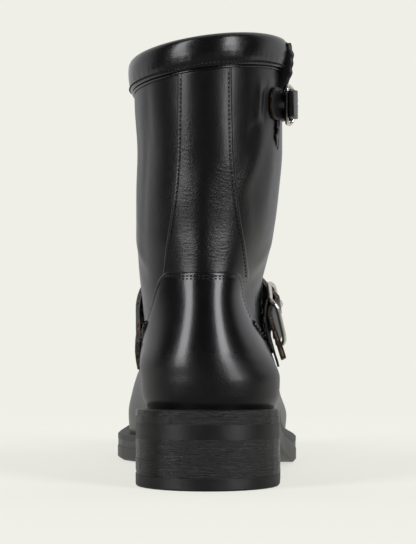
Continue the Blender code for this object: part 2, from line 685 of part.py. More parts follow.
def make_buckle(prefix, path, size, collection, metal):
    """Frame with a bar across its middle, and a prong that lies on the front rail."""
    loop = []
    count = 28
    for step in range(count):
        turn = 2 * math.pi * (step + 0.5) / count
        c, s = math.cos(turn), math.sin(turn)
        along = size.length / 2 * math.copysign(abs(c) ** 0.35, c)
        across = size.width / 2 * math.copysign(abs(s) ** 0.35, s)
        end_out = size.rear_out if along > 0 else size.front_out
        share = abs(2 * along / size.length) ** 3 * (1 - abs(2 * across / size.width) ** 8)
        loop.append(on_path(path, along, size.rail_out + (end_out - size.rail_out) * share, across))
    frame = tube(prefix + "_buckle", loop, size.wire, collection, metal, cyclic=True, rings=2)
    half = size.width / 2
    bar_line = [on_path(path, 0.0, size.bar_out, a) for a in (-half, -half * 0.4, half * 0.4, half)]
    bar = tube(prefix + "_bar_form", bar_line, size.wire * 0.8, collection, metal)
    bar.hide_render = True
    boolean(frame, bar, "UNION")
    top = size.bar_out + size.wire * 0.8 + 0.15 + CHAPE + GAP
    tip = size.front_out + size.wire * 1.7 + GAP
    reach = size.length / 2
    prong_line = [on_path(path, a, o) for a, o in (
        (1.6, top + size.wire * 0.7), (-1.5, top + size.wire * 0.7),
        (-reach * 0.5, top + (tip - top) * 0.6), (-reach * 0.8, tip), (-reach * 1.12, tip))]
    tube(prefix + "_prong", prong_line, size.wire * 0.7, collection, metal, rings=1)


def slot_cutter(name, path, low, high, half, out_low, out_high, cutters):
    """Narrow box for the hole that a prong passes through."""
    loops = []
    for along in np.linspace(low, high, 4):
        loops.append([on_path(path, along, o, a) for a, o in
                      ((-half, out_low), (half, out_low), (half, out_high), (-half, out_high))])
    made = loft(name, loops, cutters, None)
    made.hide_render = True
    made.display_type = "WIRE"
    return made


def chape_loops(path, size, far, low, width, round_end):
    """Leather from its far end along the boot, then once round the buckle's bar."""
    radius = size.wire * 0.8 + 0.15
    rise_to = size.bar_out - radius - CHAPE
    loops = []
    for along in np.linspace(far, 3.0, 12):
        out = low + max(rise_to - low, 0) * np.clip(1 - along / 14, 0, 1) ** 1.5
        share = 1 - (1 - round_end) * np.clip(1 - (far - along) / 6, 0, 1) ** 2
        places = np.linspace(-width / 2, width / 2, 5) * share
        loops.append([laid(path, along, out, a, CHAPE) for a in places]
                     + [laid(path, along, out, a) for a in places[::-1]])
    places = np.linspace(-width / 2, width / 2, 5)
    for angle in np.linspace(-math.pi / 2, math.pi * 0.62, 9):
        loop = []
        for reach, order in ((radius, places), (radius + CHAPE, places[::-1])):
            a, o = -reach * math.cos(angle), size.bar_out + reach * math.sin(angle)
            loop += [on_path(path, a, o, w) for w in order]
        loops.append(loop)
    return loops


def make_instep_strap(collection, cutters, leather, metal):
    """Strap from under the counter on the inner side, over the instep, down to its tip."""
    size = INSTEP_BUCKLE
    path = plane_path(INSTEP_PLANE, 0.885, 0.115, 99.5, 2.0, GAP + OVERLAY)
    half = size.length / 2
    knots = (-400, -34, -22, -half, -10, -5, 0, 5, 10, half, 24, 60)
    outs = (LIE, LIE, 2.6, 3.8, 4.5, 6.4, 7.4, 6.4, 4.4, 3.6, 3.4, 4.6)
    stations = strap_stations(knots, outs, path.along[0] + 2, -26, 5.0)
    stations += strap_stations(knots, outs, -22.5, 45, 3.4, tip=12, square=0.55)
    strap = ribbon("instep_strap", path, stations, INSTEP_STRAP_WIDTH, INSTEP_STRAP,
                   collection, leather)
    clearance = counter_cutter("strap_counter_clearance", GAP, cutters)
    for vertex in clearance.data.vertices:
        vertex.co.x = min(vertex.co.x, 0.0)
    boolean(strap, clearance, "DIFFERENCE")
    slot = slot_cutter("instep_slot", path, -8.5, 2.9, 1.4, 1.2, 16.0, cutters)
    boolean(strap, slot, "DIFFERENCE")

    loops = chape_loops(path, size, 65.0, LIE, INSTEP_STRAP_WIDTH - 3, 1.0)
    chape = loft("instep_chape", loops, collection, leather)
    boolean(chape, counter_cutter("chape_clearance", GAP, cutters), "DIFFERENCE")
    slot = slot_cutter("chape_slot", path, -4.5, 3.4, 1.6, 0.8, 16.0, cutters)
    boolean(chape, slot, "DIFFERENCE")
    make_buckle("instep", path, size, collection, metal)


def make_top_strap(collection, cutters, leather, metal):
    """Short strap that draws in the slit, with its buckle held by a chape behind the slit."""
    size = TOP_BUCKLE
    path = plane_path(TOP_PLANE, 0.36, 0.06, 55.0, 1.0, 0.0)
    half = size.length / 2
    knots = (-34, -20, -half, -6, -3, 0, 6, 20)
    outs = (LIE, LIE, 1.3, 2.8, 5.0, 6.3, 6.5, 6.7)
    stations = strap_stations(knots, outs, -34, 12.5, 3.0, tip=3, square=0.85)
    strap = ribbon("top_strap", path, stations, TOP_STRAP_WIDTH, TOP_STRAP, collection, leather,
                   lean=-0.10)
    slot = slot_cutter("top_slot", path, -6.0, 2.4, 1.1, 1.0, 14.0, cutters)
    boolean(strap, slot, "DIFFERENCE")
    chape = loft("top_chape", chape_loops(path, size, 24.0, LIE, 17.0, 0.5), collection, leather)
    slot = slot_cutter("top_chape_slot", path, -3.8, 2.8, 1.3, 1.6, 14.0, cutters)
    boolean(chape, slot, "DIFFERENCE")
    make_buckle("top", path, size, collection, metal)


def main():
    for old in list(bpy.data.objects):
        bpy.data.objects.remove(old)
    collection = bpy.data.collections.new("engineer_boot")
    cutters = bpy.data.collections.new("cutters")
    for group in (collection, cutters):
        bpy.context.scene.collection.children.link(group)

    leather = material("black_leather", (0.012, 0.012, 0.013), 0.28)
    edge_leather = material("stacked_leather", (0.022, 0.020, 0.019), 0.42)
    rubber = material("black_rubber", (0.014, 0.014, 0.014), 0.6)
    lining = material("lining_leather", (0.10, 0.062, 0.036), 0.7)
    metal = material("nickel", (0.72, 0.68, 0.63), 0.22, 1.0)

    make_heel(collection, edge_leather, rubber)
    make_sole(collection, edge_leather, rubber, lining)
    make_upper(collection, cutters, leather)
    make_collar(collection, leather, lining)
    make_instep_strap(collection, cutters, leather, metal)
    make_top_strap(collection, cutters, leather, metal)


main()
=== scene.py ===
import math
from contextlib import contextmanager

import bmesh
import bpy
import numpy as np
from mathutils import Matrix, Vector
from mathutils.bvhtree import BVHTree
from mathutils.kdtree import KDTree

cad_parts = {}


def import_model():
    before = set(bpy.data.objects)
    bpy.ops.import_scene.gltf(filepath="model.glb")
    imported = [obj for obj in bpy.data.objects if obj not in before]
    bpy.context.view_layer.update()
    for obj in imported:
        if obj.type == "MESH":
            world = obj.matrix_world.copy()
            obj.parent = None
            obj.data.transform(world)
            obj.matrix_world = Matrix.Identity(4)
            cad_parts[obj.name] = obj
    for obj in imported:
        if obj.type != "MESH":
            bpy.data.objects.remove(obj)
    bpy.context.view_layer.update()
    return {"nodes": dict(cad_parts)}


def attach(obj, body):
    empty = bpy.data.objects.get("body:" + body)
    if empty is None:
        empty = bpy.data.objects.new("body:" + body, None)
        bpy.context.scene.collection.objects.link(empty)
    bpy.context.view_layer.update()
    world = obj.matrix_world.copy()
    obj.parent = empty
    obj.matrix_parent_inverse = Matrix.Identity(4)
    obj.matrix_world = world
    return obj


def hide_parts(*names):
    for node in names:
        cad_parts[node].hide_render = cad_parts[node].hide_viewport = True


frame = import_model()


# The upper is lasted: drawn over a foot-shaped last, so every leather piece follows one form.
# The form is a stack of rings from the welt to the collar. Lengths are in millimetres, and
# "from the heel" is the distance forwards from the rearmost point of the sole.
HEEL_CENTRE = 36.0              # from the heel to the frame's origin
SOLE_STACK = 15.0               # outsole, midsole and welt together
# height of the sole's underside along the foot
BOTTOM_FROM_HEEL = (0.0, 72.0, 100.0, 130.0, 160.0, 180.0, 216.0, 250.0, 299.0)
BOTTOM_HEIGHT = (26.2, 22.4, 16.8, 8.2, 1.9, 0.0, 0.0, 3.0, 13.0)
# from the heel to the places of a ring's outer and inner half widths
LATERAL_AT = (38.0, 105.0, 185.0, 255.0)
MEDIAL_AT = (38.0, 112.0, 213.0, 262.0)
# back, its height, front, its height, dip with the sole, tilt, roundness of back and front, toe
# power, then half widths: outer heel, waist, ball and toe, inner heel, waist, ball and toe
RINGS = (
    (6.0, 41.8, 290.0, 25.5, 1.0, 0, 36, 84, 2.45, 33.0, 31.5, 38.7, 29.5, 30.0, 25.5, 51.8, 46.5),
    (3.6, 49, 292.5, 37, 0.85, 0, 37, 84, 2.45, 36.0, 34.0, 40.0, 31.0, 33.0, 30.0, 52.4, 47.4),
    (2.6, 57, 292.0, 47.5, 0.7, 0, 39, 86, 2.45, 36.4, 34.0, 36.4, 30.5, 33.7, 32.5, 50.2, 47.0),
    (2.8, 64, 286.0, 56.5, 0.52, 0, 42, 92, 2.4, 34.0, 33.0, 34.2, 28.5, 34.5, 33.8, 46.7, 44.0),
    (3.9, 71, 272.0, 63, 0.35, 0, 45, 98, 2.35, 31.2, 31.5, 31.8, 26.0, 34.2, 34.5, 42.2, 40.0),
    (5.4, 78, 250.0, 67.5, 0.2, 0, 48, 104, 2.3, 28.6, 30.0, 29.0, 24.5, 34.0, 35.0, 38.5, 36.5),
    (7.0, 85, 225.0, 71.5, 0.1, 0, 52, 106, 2.2, 26.4, 28.6, 26.8, 23.0, 34.1, 35.5, 36.0, 34.0),
    (8.6, 92, 200.0, 78.5, 0.04, 0, 56, 104, 2.1, 24.9, 27.6, 25.5, 23.5, 34.6, 36.0, 34.5, 33.5),
    (10.0, 99, 177.0, 90, 0, 0, 60, 96, 2.0, 24.2, 27.2, 26.0, 25.0, 35.5, 36.9, 34.8, 33.8),
    (11.0, 107, 157.0, 104.5, 0, 0, 64, 80, 2.0, 26.4, 28.4, 27.6, 27.0, 37.3, 37.9, 36.4, 36.0),
    (11.5, 117, 143.0, 122.5, 0, 0, 65, 66, 2.0, 31.2, 31.6, 31.4, 31.4, 38.8, 39.0, 38.8, 38.8),
    (11.3, 130, 135.0, 141, 0, 0, 62, 62, 2.0, 34.7, 34.8, 34.8, 34.8, 39.7, 39.7, 39.7, 39.7),
    (10.0, 148, 131.0, 162, 0, 0, 60, 61, 2.0, 37.2, 37.2, 37.2, 37.2, 39.6, 39.6, 39.6, 39.6),
    (7.8, 172, 129.0, 184, 0, 0, 60, 61, 2.0, 39.2, 39.2, 39.2, 39.2, 38.8, 38.8, 38.8, 38.8),
    (5.8, 198, 128.5, 204, 0, 0.04, 61, 61, 2.0, 39.3, 39.3, 39.3, 39.3, 40.0, 40.0, 40.0, 40.0),
    (3.6, 230.4, 129.0, 224, 0, 0.13, 62, 63, 2.0, 40.9, 40.9, 40.9, 40.9, 40.7, 40.7, 40.7, 40.7),
)
COLLAR = len(RINGS) - 1
HEEL_LINE = -1.2                # x of the line down the back of the heel
HEEL_LINE_REACH = 17.0          # how far forwards a ring bends to reach that line


def smooth(knots, values, at):
    """Values of a smooth curve through (knots, values) that never overshoots them."""
    knots, values = np.asarray(knots, float), np.asarray(values, float)
    at = np.clip(np.asarray(at, float), knots[0], knots[-1])
    step = np.diff(knots).reshape((-1,) + (1,) * (values.ndim - 1))
    chord = np.diff(values, axis=0) / step
    slope = np.zeros_like(values)
    slope[0], slope[-1] = chord[0], chord[-1]
    product = chord[:-1] * chord[1:]
    total = np.where(product > 0, chord[:-1] + chord[1:], 1.0)
    slope[1:-1] = np.where(product > 0, 2 * product / total, 0.0)
    left = np.clip(np.searchsorted(knots, at, side="right") - 1, 0, len(knots) - 2)
    width = knots[left + 1] - knots[left]
    share = (at - knots[left]) / width
    if values.ndim > 1:
        share, width = share[..., None], width[..., None]
    return (
        (1 + 2 * share) * (1 - share) ** 2 * values[left]
        + share * (1 - share) ** 2 * width * slope[left]
        + share ** 2 * (3 - 2 * share) * values[left + 1]
        + share ** 2 * (share - 1) * width * slope[left + 1]
    )


def sole_top(from_heel):
    return smooth(BOTTOM_FROM_HEEL, BOTTOM_HEIGHT, from_heel) + SOLE_STACK


def ring(level, around):
    """One ring of the form; around is 0 at the back, 0.25 outside, 0.5 in front, 0.75 inside."""
    s = smooth(np.arange(len(RINGS)), RINGS, level)
    turn = 2 * math.pi * around
    share = (1 - np.cos(turn)) / 2
    side = np.where(np.sin(turn) >= 0, 1.0, -1.0)
    y = s[0] + share * (s[2] - s[0])
    right, left = smooth(LATERAL_AT, s[9:13], y), -smooth(MEDIAL_AT, s[13:17], y)

    def end(distance, length, power):
        return (1 - np.clip(1 - distance / length, 0, 1) ** power) ** (1 / power)

    half = (right - left) / 2 * end(y - s[0], s[6], 2.0) * end(s[2] - y, s[7], s[8])
    off_line = max(HEEL_LINE - (s[9] - s[13]) / 2, 0.0)
    x = (right + left) / 2 + side * half + off_line * np.exp(-((y - s[0]) / HEEL_LINE_REACH) ** 2)
    chord = sole_top(s[0]) + share * (sole_top(s[2]) - sole_top(s[0]))
    z = s[1] + share * (s[3] - s[1]) + s[4] * (sole_top(y) - chord) + s[5] * x
    return np.stack([x, y, z], axis=-1)


def unit(vectors):
    return vectors / np.linalg.norm(vectors, axis=-1, keepdims=True)


ROUND_STEPS, LEVEL_STEPS = 720, 360
turns = np.linspace(0, 1, ROUND_STEPS + 1)
FACE = np.array([ring(level, turns) for level in np.linspace(0, COLLAR, LEVEL_STEPS + 1)])
wrapped = np.concatenate([FACE[:, -2:-1], FACE, FACE[:, 1:2]], axis=1)
NORMALS = unit(np.cross(wrapped[:, 2:] - wrapped[:, :-2], np.gradient(FACE, axis=0)))


def form(around, level, out=0.0):
    """Points and outward normals of the form, moved outwards by out."""
    across = (np.asarray(around, float) % 1.0) * ROUND_STEPS
    up = np.clip(np.asarray(level, float), 0, COLLAR) / COLLAR * LEVEL_STEPS
    i = np.minimum(across.astype(int), ROUND_STEPS - 1)
    j = np.minimum(up.astype(int), LEVEL_STEPS - 1)
    a, b = (across - i)[..., None], (up - j)[..., None]

    def at(table):
        low = table[j, i] * (1 - a) + table[j, i + 1] * a
        high = table[j + 1, i] * (1 - a) + table[j + 1, i + 1] * a
        return low * (1 - b) + high * b

    normals = unit(at(NORMALS))
    return at(FACE) + np.asarray(out, float)[..., None] * normals, normals


def locate(axes, wanted, around, level):
    """Place (around, level) on the form whose two coordinates along axes are the wanted ones."""
    wanted = np.asarray(wanted, float)
    around = np.broadcast_to(np.asarray(around, float), wanted.shape[:-1]).copy()
    level = np.broadcast_to(np.asarray(level, float), wanted.shape[:-1]).copy()
    for _ in range(40):
        here = form(around, level)[0][..., axes]
        a = (form(around + 0.004, level)[0][..., axes] - here) / 0.004
        up = np.where(level > COLLAR - 0.2, -0.1, 0.1)
        b = (form(around, level + up)[0][..., axes] - here) / up[..., None]
        miss = wanted - here
        area = a[..., 0] * b[..., 1] - a[..., 1] * b[..., 0]
        area = np.where(abs(area) < 1e-6, 1e-6, area)
        around += np.clip((miss[..., 0] * b[..., 1] - miss[..., 1] * b[..., 0]) / area, -0.02, 0.02)
        level += np.clip((a[..., 0] * miss[..., 1] - a[..., 1] * miss[..., 0]) / area, -0.5, 0.5)
        level = np.clip(level, 0, COLLAR)
    return around, level


# The finishes are written with a few helpers: one wraps a socket so that arithmetic on it adds
# Math nodes, and one holds a material and adds its other nodes. The black leather is full-grain
# hide, drum dyed, with pores under a thin waxed finish that is glossier where it was burnished.
class Amount:
    """A shader socket that arithmetic turns into Math nodes."""

    def __init__(self, finish, socket):
        self.finish, self.socket = finish, socket

    def math(self, operation, *others, flip=False):
        values = [self, *others]
        if flip:
            values.reverse()
        node = self.finish.add("ShaderNodeMath", {"operation": operation}, dict(enumerate(values)))
        return Amount(self.finish, node.outputs[0])

    def __add__(self, other):
        return self.math("ADD", other)

    __radd__ = __add__

    def __sub__(self, other):
        return self.math("SUBTRACT", other)

    def __rsub__(self, other):
        return self.math("SUBTRACT", other, flip=True)

    def __mul__(self, other):
        return self.math("MULTIPLY", other)

    __rmul__ = __mul__

    def __truediv__(self, other):
        return self.math("DIVIDE", other)

    def __pow__(self, other):
        return self.math("POWER", other)

    def fade(self, start, stop):
        """0 before start and 1 after stop, with a soft step between; they may be swapped."""
        node = self.finish.add(
            "ShaderNodeMapRange", {"interpolation_type": "SMOOTHSTEP"},
            {"Value": self, "From Min": start, "From Max": stop},
        )
        return Amount(self.finish, node.outputs[0])


class Finish:
    """A material, or the world, with its nodes."""

    def __init__(self, owner):
        self.owner = owner
        owner.use_nodes = True
        self.tree = owner.node_tree
        self.shader = self.tree.nodes.get("Principled BSDF")
        self.place = self.add("ShaderNodeTexCoord").outputs["Object"]

    def add(self, kind, settings=None, values=None):
        node = self.tree.nodes.new(kind)
        for name, value in (settings or {}).items():
            setattr(node, name, value)
        for name, value in (values or {}).items():
            self.put(node.inputs[name], value)
        return node

    def put(self, socket, value):
        if isinstance(value, Amount):
            value = value.socket
        if isinstance(value, bpy.types.NodeSocket):
            self.tree.links.new(value, socket)
        elif isinstance(value, tuple) and len(value) == 3 and socket.type == "RGBA":
            socket.default_value = (*value, 1.0)
        else:
            socket.default_value = value

    def set(self, **values):
        for name, value in values.items():
            name = name.replace("_", " ").title().replace("Ior", "IOR")
            self.put(self.shader.inputs[name], value)

    def noise(self, size, detail=3.0, rough=0.5, stretch=(1.0, 1.0, 1.0), seed=0.0):
        """Noise with cells of about size millimetres, from 0 to 1."""
        where = self.add("ShaderNodeMapping", {}, {
            "Vector": self.place, "Location": (seed, seed * 0.7, -seed), "Scale": stretch,
        })
        node = self.add("ShaderNodeTexNoise", {}, {
            "Vector": where.outputs[0], "Scale": 1000.0 / size, "Detail": detail, "Roughness": rough,
        })
        return Amount(self, node.outputs[0])

    def cells(self, size):
        """Distance to the middles of scattered cells of about size millimetres."""
        node = self.add("ShaderNodeTexVoronoi", {}, {"Vector": self.place, "Scale": 1000.0 / size})
        return Amount(self, node.outputs["Distance"])

    def mix(self, amount, first, second):
        """A colour between two, the second where the amount is 1."""
        node = self.add("ShaderNodeMix", {"data_type": "RGBA"})
        self.put(node.inputs["Factor"], amount)
        self.put(node.inputs[6], first)
        self.put(node.inputs[7], second)
        return node.outputs[2]

    def bump(self, height, depth, strength=1.0, under=None):
        """Relief of depth millimetres on top of another one."""
        values = {"Height": height, "Strength": strength, "Distance": depth / 1000.0}
        if under is not None:
            values["Normal"] = under
        return self.add("ShaderNodeBump", {}, values).outputs[0]

    def coordinate(self, axis):
        """Position along an axis of the object, in metres."""
        split = self.add("ShaderNodeSeparateXYZ", {}, {0: self.place})
        return Amount(self, split.outputs[axis])


def new_finish(name):
    return Finish(bpy.data.materials.new(name))


# middle of each finely crinkled patch on the shaft (x, height) and its half sizes
CRINKLES = (
    ((6.5, 124.0), (7.5, 12.0)), ((-7.0, 123.0), (6.5, 10.0)), ((-11.0, 152.0), (7.0, 6.0)),
    ((6.0, 152.0), (7.0, 9.0)), ((10.0, 163.0), (5.0, 6.0)), ((-11.0, 176.0), (5.5, 14.0)),
    ((24.0, 150.0), (9.0, 22.0)), ((-27.0, 150.0), (6.0, 26.0)),
)


def black_leather(name, roughness, coat, pores, waves, crinkled=False, worn_below=None):
    """Black hide; pores and waves are depths in millimetres. Below a height in metres, if one
    is given, the polish is worn dull."""
    hide = new_finish(name)
    mottle = hide.noise(5.0, 4.0, 0.6, seed=3.0)
    pore = hide.cells(0.85)
    fine = hide.noise(0.5, 2.0, 0.6)
    rough = roughness - 0.06 + 0.10 * mottle + 0.05 * fine
    polish = coat
    if worn_below:
        dull = hide.coordinate(2).fade(worn_below, worn_below - 0.016)
        rough = rough + 0.13 * dull
        polish = coat - 0.75 * coat * dull
    hide.set(
        base_color=hide.mix(mottle, (0.0028, 0.0028, 0.0032), (0.0062, 0.0060, 0.0064)),
        roughness=rough, specular_ior_level=0.45, coat_weight=polish, coat_roughness=0.13,
        coat_ior=1.45,
    )
    relief = hide.bump(hide.noise(20.0, 2.0), waves * 5.0, 0.5)
    relief = hide.bump(hide.noise(7.0, 2.0, seed=8.0), waves, 0.6, relief)
    if crinkled:
        x, z = hide.coordinate(0) * 1000, hide.coordinate(2) * 1000
        patch = 0.05
        for (middle, height), (wide, high) in CRINKLES:
            far = ((x - middle) / wide) ** 2 + ((z - height) / high) ** 2
            patch = patch + (far * -1).math("EXPONENT")
        back = hide.coordinate(1).fade(-0.004, -0.020)
        crinkle = hide.noise(1.1, 5.0, 0.62, stretch=(0.5, 0.5, 1.0), seed=11.0)
        relief = hide.bump(crinkle * patch * back, 0.38, 0.7, relief)
    relief = hide.bump(pore, pores, 0.55, relief)
    hide.set(normal=hide.bump(fine, pores * 0.6, 0.45, relief))
    return hide.owner


SHAFT_LEATHER = black_leather("shaft_leather", 0.31, 0.18, 0.07, 0.10, crinkled=True)
LASTED_LEATHER = black_leather("lasted_leather", 0.22, 0.62, 0.085, 0.03, worn_below=0.076)
BAND_LEATHER = black_leather("band_leather", 0.25, 0.40, 0.06, 0.03)
SOFT_LEATHER = black_leather("soft_leather", 0.42, 0.1, 0.12, 0.2)


def lining_finish():
    tan = new_finish("lining")
    fibre = tan.noise(1.2, 4.0, 0.65)
    stain = tan.noise(30.0, 3.0, seed=2.0)
    tan.set(
        base_color=tan.mix(stain, (0.085, 0.050, 0.028), (0.150, 0.092, 0.052)),
        roughness=0.62 + 0.2 * fibre, normal=tan.bump(fibre, 0.08, 0.6),
    )
    return tan.owner


LINING = lining_finish()


# The shaft and foot of the upper: one wall of leather and lining, open at the collar, with a
# slit at the top of its outer side. It wrinkles softly where the ankle bends, and the shaft
# stands in shallow upright folds because it is only held by the foot below.
MM = 0.001
WELD = 2e-6                     # points this close, in metres, are one
WALL = 2.2                      # leather and lining together
COLLAR_Z = 232.0                # height of the collar beside the slit
SLIT_Z = 177.0                  # height of the slit's lower end
SLIT_MIDDLE = (46.0, 53.0)      # from the heel, at its lower end and at the collar
SLIT_WIDTH = (2.0, 12.0)
# centre of each fold (x, from the heel, height), its direction, length, width and depth
FOLDS = (
    ((31.0, 27.5, 199.0), (0.0, 0.1, 1.0), 9.0, 2.0, -0.9),
    ((27.5, 22.3, 199.0), (0.0, 0.1, 1.0), 10.0, 2.4, 0.7),
    ((26.5, 21.0, 187.0), (0.75, 0.6, 0.5), 7.0, 1.8, -0.7),
    ((26.0, 20.5, 168.0), (0.35, 0.3, 1.0), 22.0, 6.0, 0.9),
    ((-1.6, 5.6, 138.0), (0.03, -0.08, 1.0), 27.0, 6.0, 1.7),
    ((-36.0, 36.0, 150.0), (0.10, -0.10, 1.0), 52.0, 5.0, -0.55),
    ((-33.0, 26.0, 165.0), (0.06, 0.05, 1.0), 46.0, 3.6, -0.35),
    ((-38.5, 52.0, 160.0), (0.0, 0.05, 1.0), 50.0, 5.0, 0.40),
    ((35.0, 38.0, 150.0), (-0.12, 0.0, 1.0), 42.0, 7.0, 0.50),
    ((32.0, 28.0, 128.0), (-0.3, -0.1, 1.0), 30.0, 5.0, -0.45),
    ((-36.5, 44.0, 112.0), (0.1, 1.0, 0.35), 26.0, 4.5, -0.8),
    ((-37.0, 50.0, 122.0), (0.1, 1.0, 0.5), 26.0, 4.0, 0.6),
    ((27.0, 50.0, 108.0), (0.1, 1.0, 0.3), 26.0, 4.5, -0.8),
    ((30.5, 52.0, 119.0), (0.1, 1.0, 0.45), 24.0, 4.0, 0.6),
    ((4.0, 147.0, 116.0), (1.0, 0.0, 0.12), 26.0, 5.5, -1.3),
    ((-4.0, 137.0, 133.0), (1.0, 0.0, -0.15), 25.0, 5.0, -1.0),
    ((0.0, 158.0, 104.0), (1.0, 0.0, 0.0), 26.0, 6.0, 0.9),
    ((2.0, 140.5, 125.0), (1.0, 0.0, 0.05), 24.0, 5.0, 0.8),
    ((0.0, 132.0, 152.0), (1.0, 0.0, 0.18), 22.0, 6.0, -0.6),
)


def folds(points):
    """How far the soft folds push each point outwards, in millimetres."""
    push = np.zeros(points.shape[:-1])
    for centre, direction, length, width, depth in FOLDS:
        line = unit(np.array(direction))
        away = points - np.array(centre)
        along = away @ line
        aside = np.linalg.norm(away - along[..., None] * line, axis=-1)
        push += depth * np.exp(-(aside / width) ** 2 - (along / length) ** 4)
    x, y, z = points[..., 0], points[..., 1], points[..., 2]
    sway = np.sin(z / 17.0 + np.sin(x / 9.0)) * np.sin(x / 7.0 + z / 60.0 + y / 11.0)
    shaft = np.clip((z - 112) / 30, 0, 1) * np.clip((228 - z) / 20, 0, 1)
    return push + 0.16 * sway * shaft


def world(points):
    return (points - np.array([0.0, HEEL_CENTRE, 0.0])) * MM


@contextmanager
def editing(piece):
    """A piece's mesh opened as a bmesh, and written back afterwards."""
    bm = bmesh.new()
    bm.from_mesh(piece.data)
    yield bm
    bm.to_mesh(piece.data)
    bm.free()


def sheet(name, columns, rows, place, join=False):
    """A piece of leather: a grid whose points are laid by place(u, v), with the edges that
    meet joined if asked."""
    bpy.ops.object.select_all(action="DESELECT")
    bpy.ops.mesh.primitive_grid_add(x_subdivisions=columns, y_subdivisions=rows, size=2.0)
    piece = bpy.context.object
    piece.name = piece.data.name = name
    flat = np.empty(len(piece.data.vertices) * 3)
    piece.data.vertices.foreach_get("co", flat)
    flat = (flat.reshape(-1, 3)[:, :2] + 1) / 2
    piece.data.vertices.foreach_set("co", world(place(flat[:, 0], flat[:, 1])).ravel())
    if join:
        with editing(piece) as bm:
            bmesh.ops.remove_doubles(bm, verts=bm.verts, dist=WELD)
    piece.data.update()
    bpy.ops.object.shade_smooth()
    return piece


def thicken(piece, thickness, offset=-1.0, inner=0):
    """Gives a sheet its thickness, inwards unless offset is changed."""
    wall = piece.modifiers.new("wall", "SOLIDIFY")
    wall.thickness = thickness * MM
    wall.offset = offset
    wall.material_offset = inner
    bpy.context.view_layer.objects.active = piece
    bpy.ops.object.modifier_apply(modifier=wall.name)


def dress(piece, materials, slot, *nodes):
    """Gives a piece its materials if it has none yet, hangs it under the root and hides the CAD nodes
    it stands for.
    """
    if not piece.data.materials:
        for material in materials:
            piece.data.materials.append(material)
    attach(piece, "root")
    if nodes:
        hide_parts(*nodes)
    return piece


def slit_at(share):
    """Middle and width of the slit at a share of the way up it."""
    return [low + share * (high - low) for low, high in (SLIT_MIDDLE, SLIT_WIDTH)]


def slit_edges(level):
    """Places around the form of the slit's two edges at a level."""
    z = form(0.22, level)[0][..., 2]
    share = (z - SLIT_Z) / (COLLAR_Z - SLIT_Z)
    middle, width = slit_at(share)
    width = np.where(share > 0, width, 0.0)
    s = smooth(np.arange(len(RINGS)), RINGS, level)
    near = [(middle + sign * width / 2 - s[..., 0]) / (s[..., 2] - s[..., 0]) for sign in (-1, 1)]
    return [np.arccos(np.clip(1 - 2 * part, -1, 1)) / (2 * math.pi) for part in near]


UPPER_COLUMNS, UPPER_ROWS = 216, 168
SLIT_COLUMN = 47                # the column of the grid that fits the slit
BEND_FROM, BEND_TO = 0.08, 0.42     # the columns between these places lean with the slit


def lay_upper(u, v):
    """Lays the grid around the form, with one column of it along the slit."""
    level = v * COLLAR
    near, far = slit_edges(level)
    first, last = SLIT_COLUMN / UPPER_COLUMNS, (SLIT_COLUMN + 1) / UPPER_COLUMNS
    knots = np.stack([np.zeros_like(u), np.full_like(u, BEND_FROM), near, far,
                      np.full_like(u, BEND_TO), np.ones_like(u)])
    marks = (0.0, BEND_FROM, first, last, BEND_TO, 1.0)
    around = np.zeros_like(u)
    for k in range(5):
        inside = (u >= marks[k] - 1e-9) & (u <= marks[k + 1] + 1e-9)
        share = (u - marks[k]) / (marks[k + 1] - marks[k])
        around = np.where(inside, knots[k] + share * (knots[k + 1] - knots[k]), around)
    points, normals = form(around, level)
    return points + folds(points)[..., None] * normals


upper = sheet("upper_leather", UPPER_COLUMNS, UPPER_ROWS, lay_upper)
with editing(upper) as bm:
    uv = bm.loops.layers.uv.active
    inside_slit = []
    for face in bm.faces:
        column = sum(loop[uv].uv.x for loop in face.loops) / 4 * UPPER_COLUMNS
        high = max(vert.co.z for vert in face.verts) > SLIT_Z * MM
        if high and SLIT_COLUMN < column < SLIT_COLUMN + 1:
            inside_slit.append(face)
    bmesh.ops.delete(bm, geom=inside_slit, context="FACES")
    bmesh.ops.remove_doubles(bm, verts=bm.verts, dist=WELD)
upper.data.materials.append(SHAFT_LEATHER)
upper.data.materials.append(LINING)
thicken(upper, WALL, inner=1)
dress(upper, (), "black_leather", "upper")


# Seams are lock-stitched in black waxed thread. Each stitch is a short fat run of thread that
# sinks at both ends, and a row of them is one piece.
def thread_finish():
    thread = new_finish("black_thread")
    twist = thread.noise(0.35, 2.0)
    thread.set(base_color=(0.006, 0.006, 0.006), roughness=0.62 + 0.2 * twist,
               normal=thread.bump(twist, 0.05, 0.6))
    return thread.owner


THREAD = thread_finish()


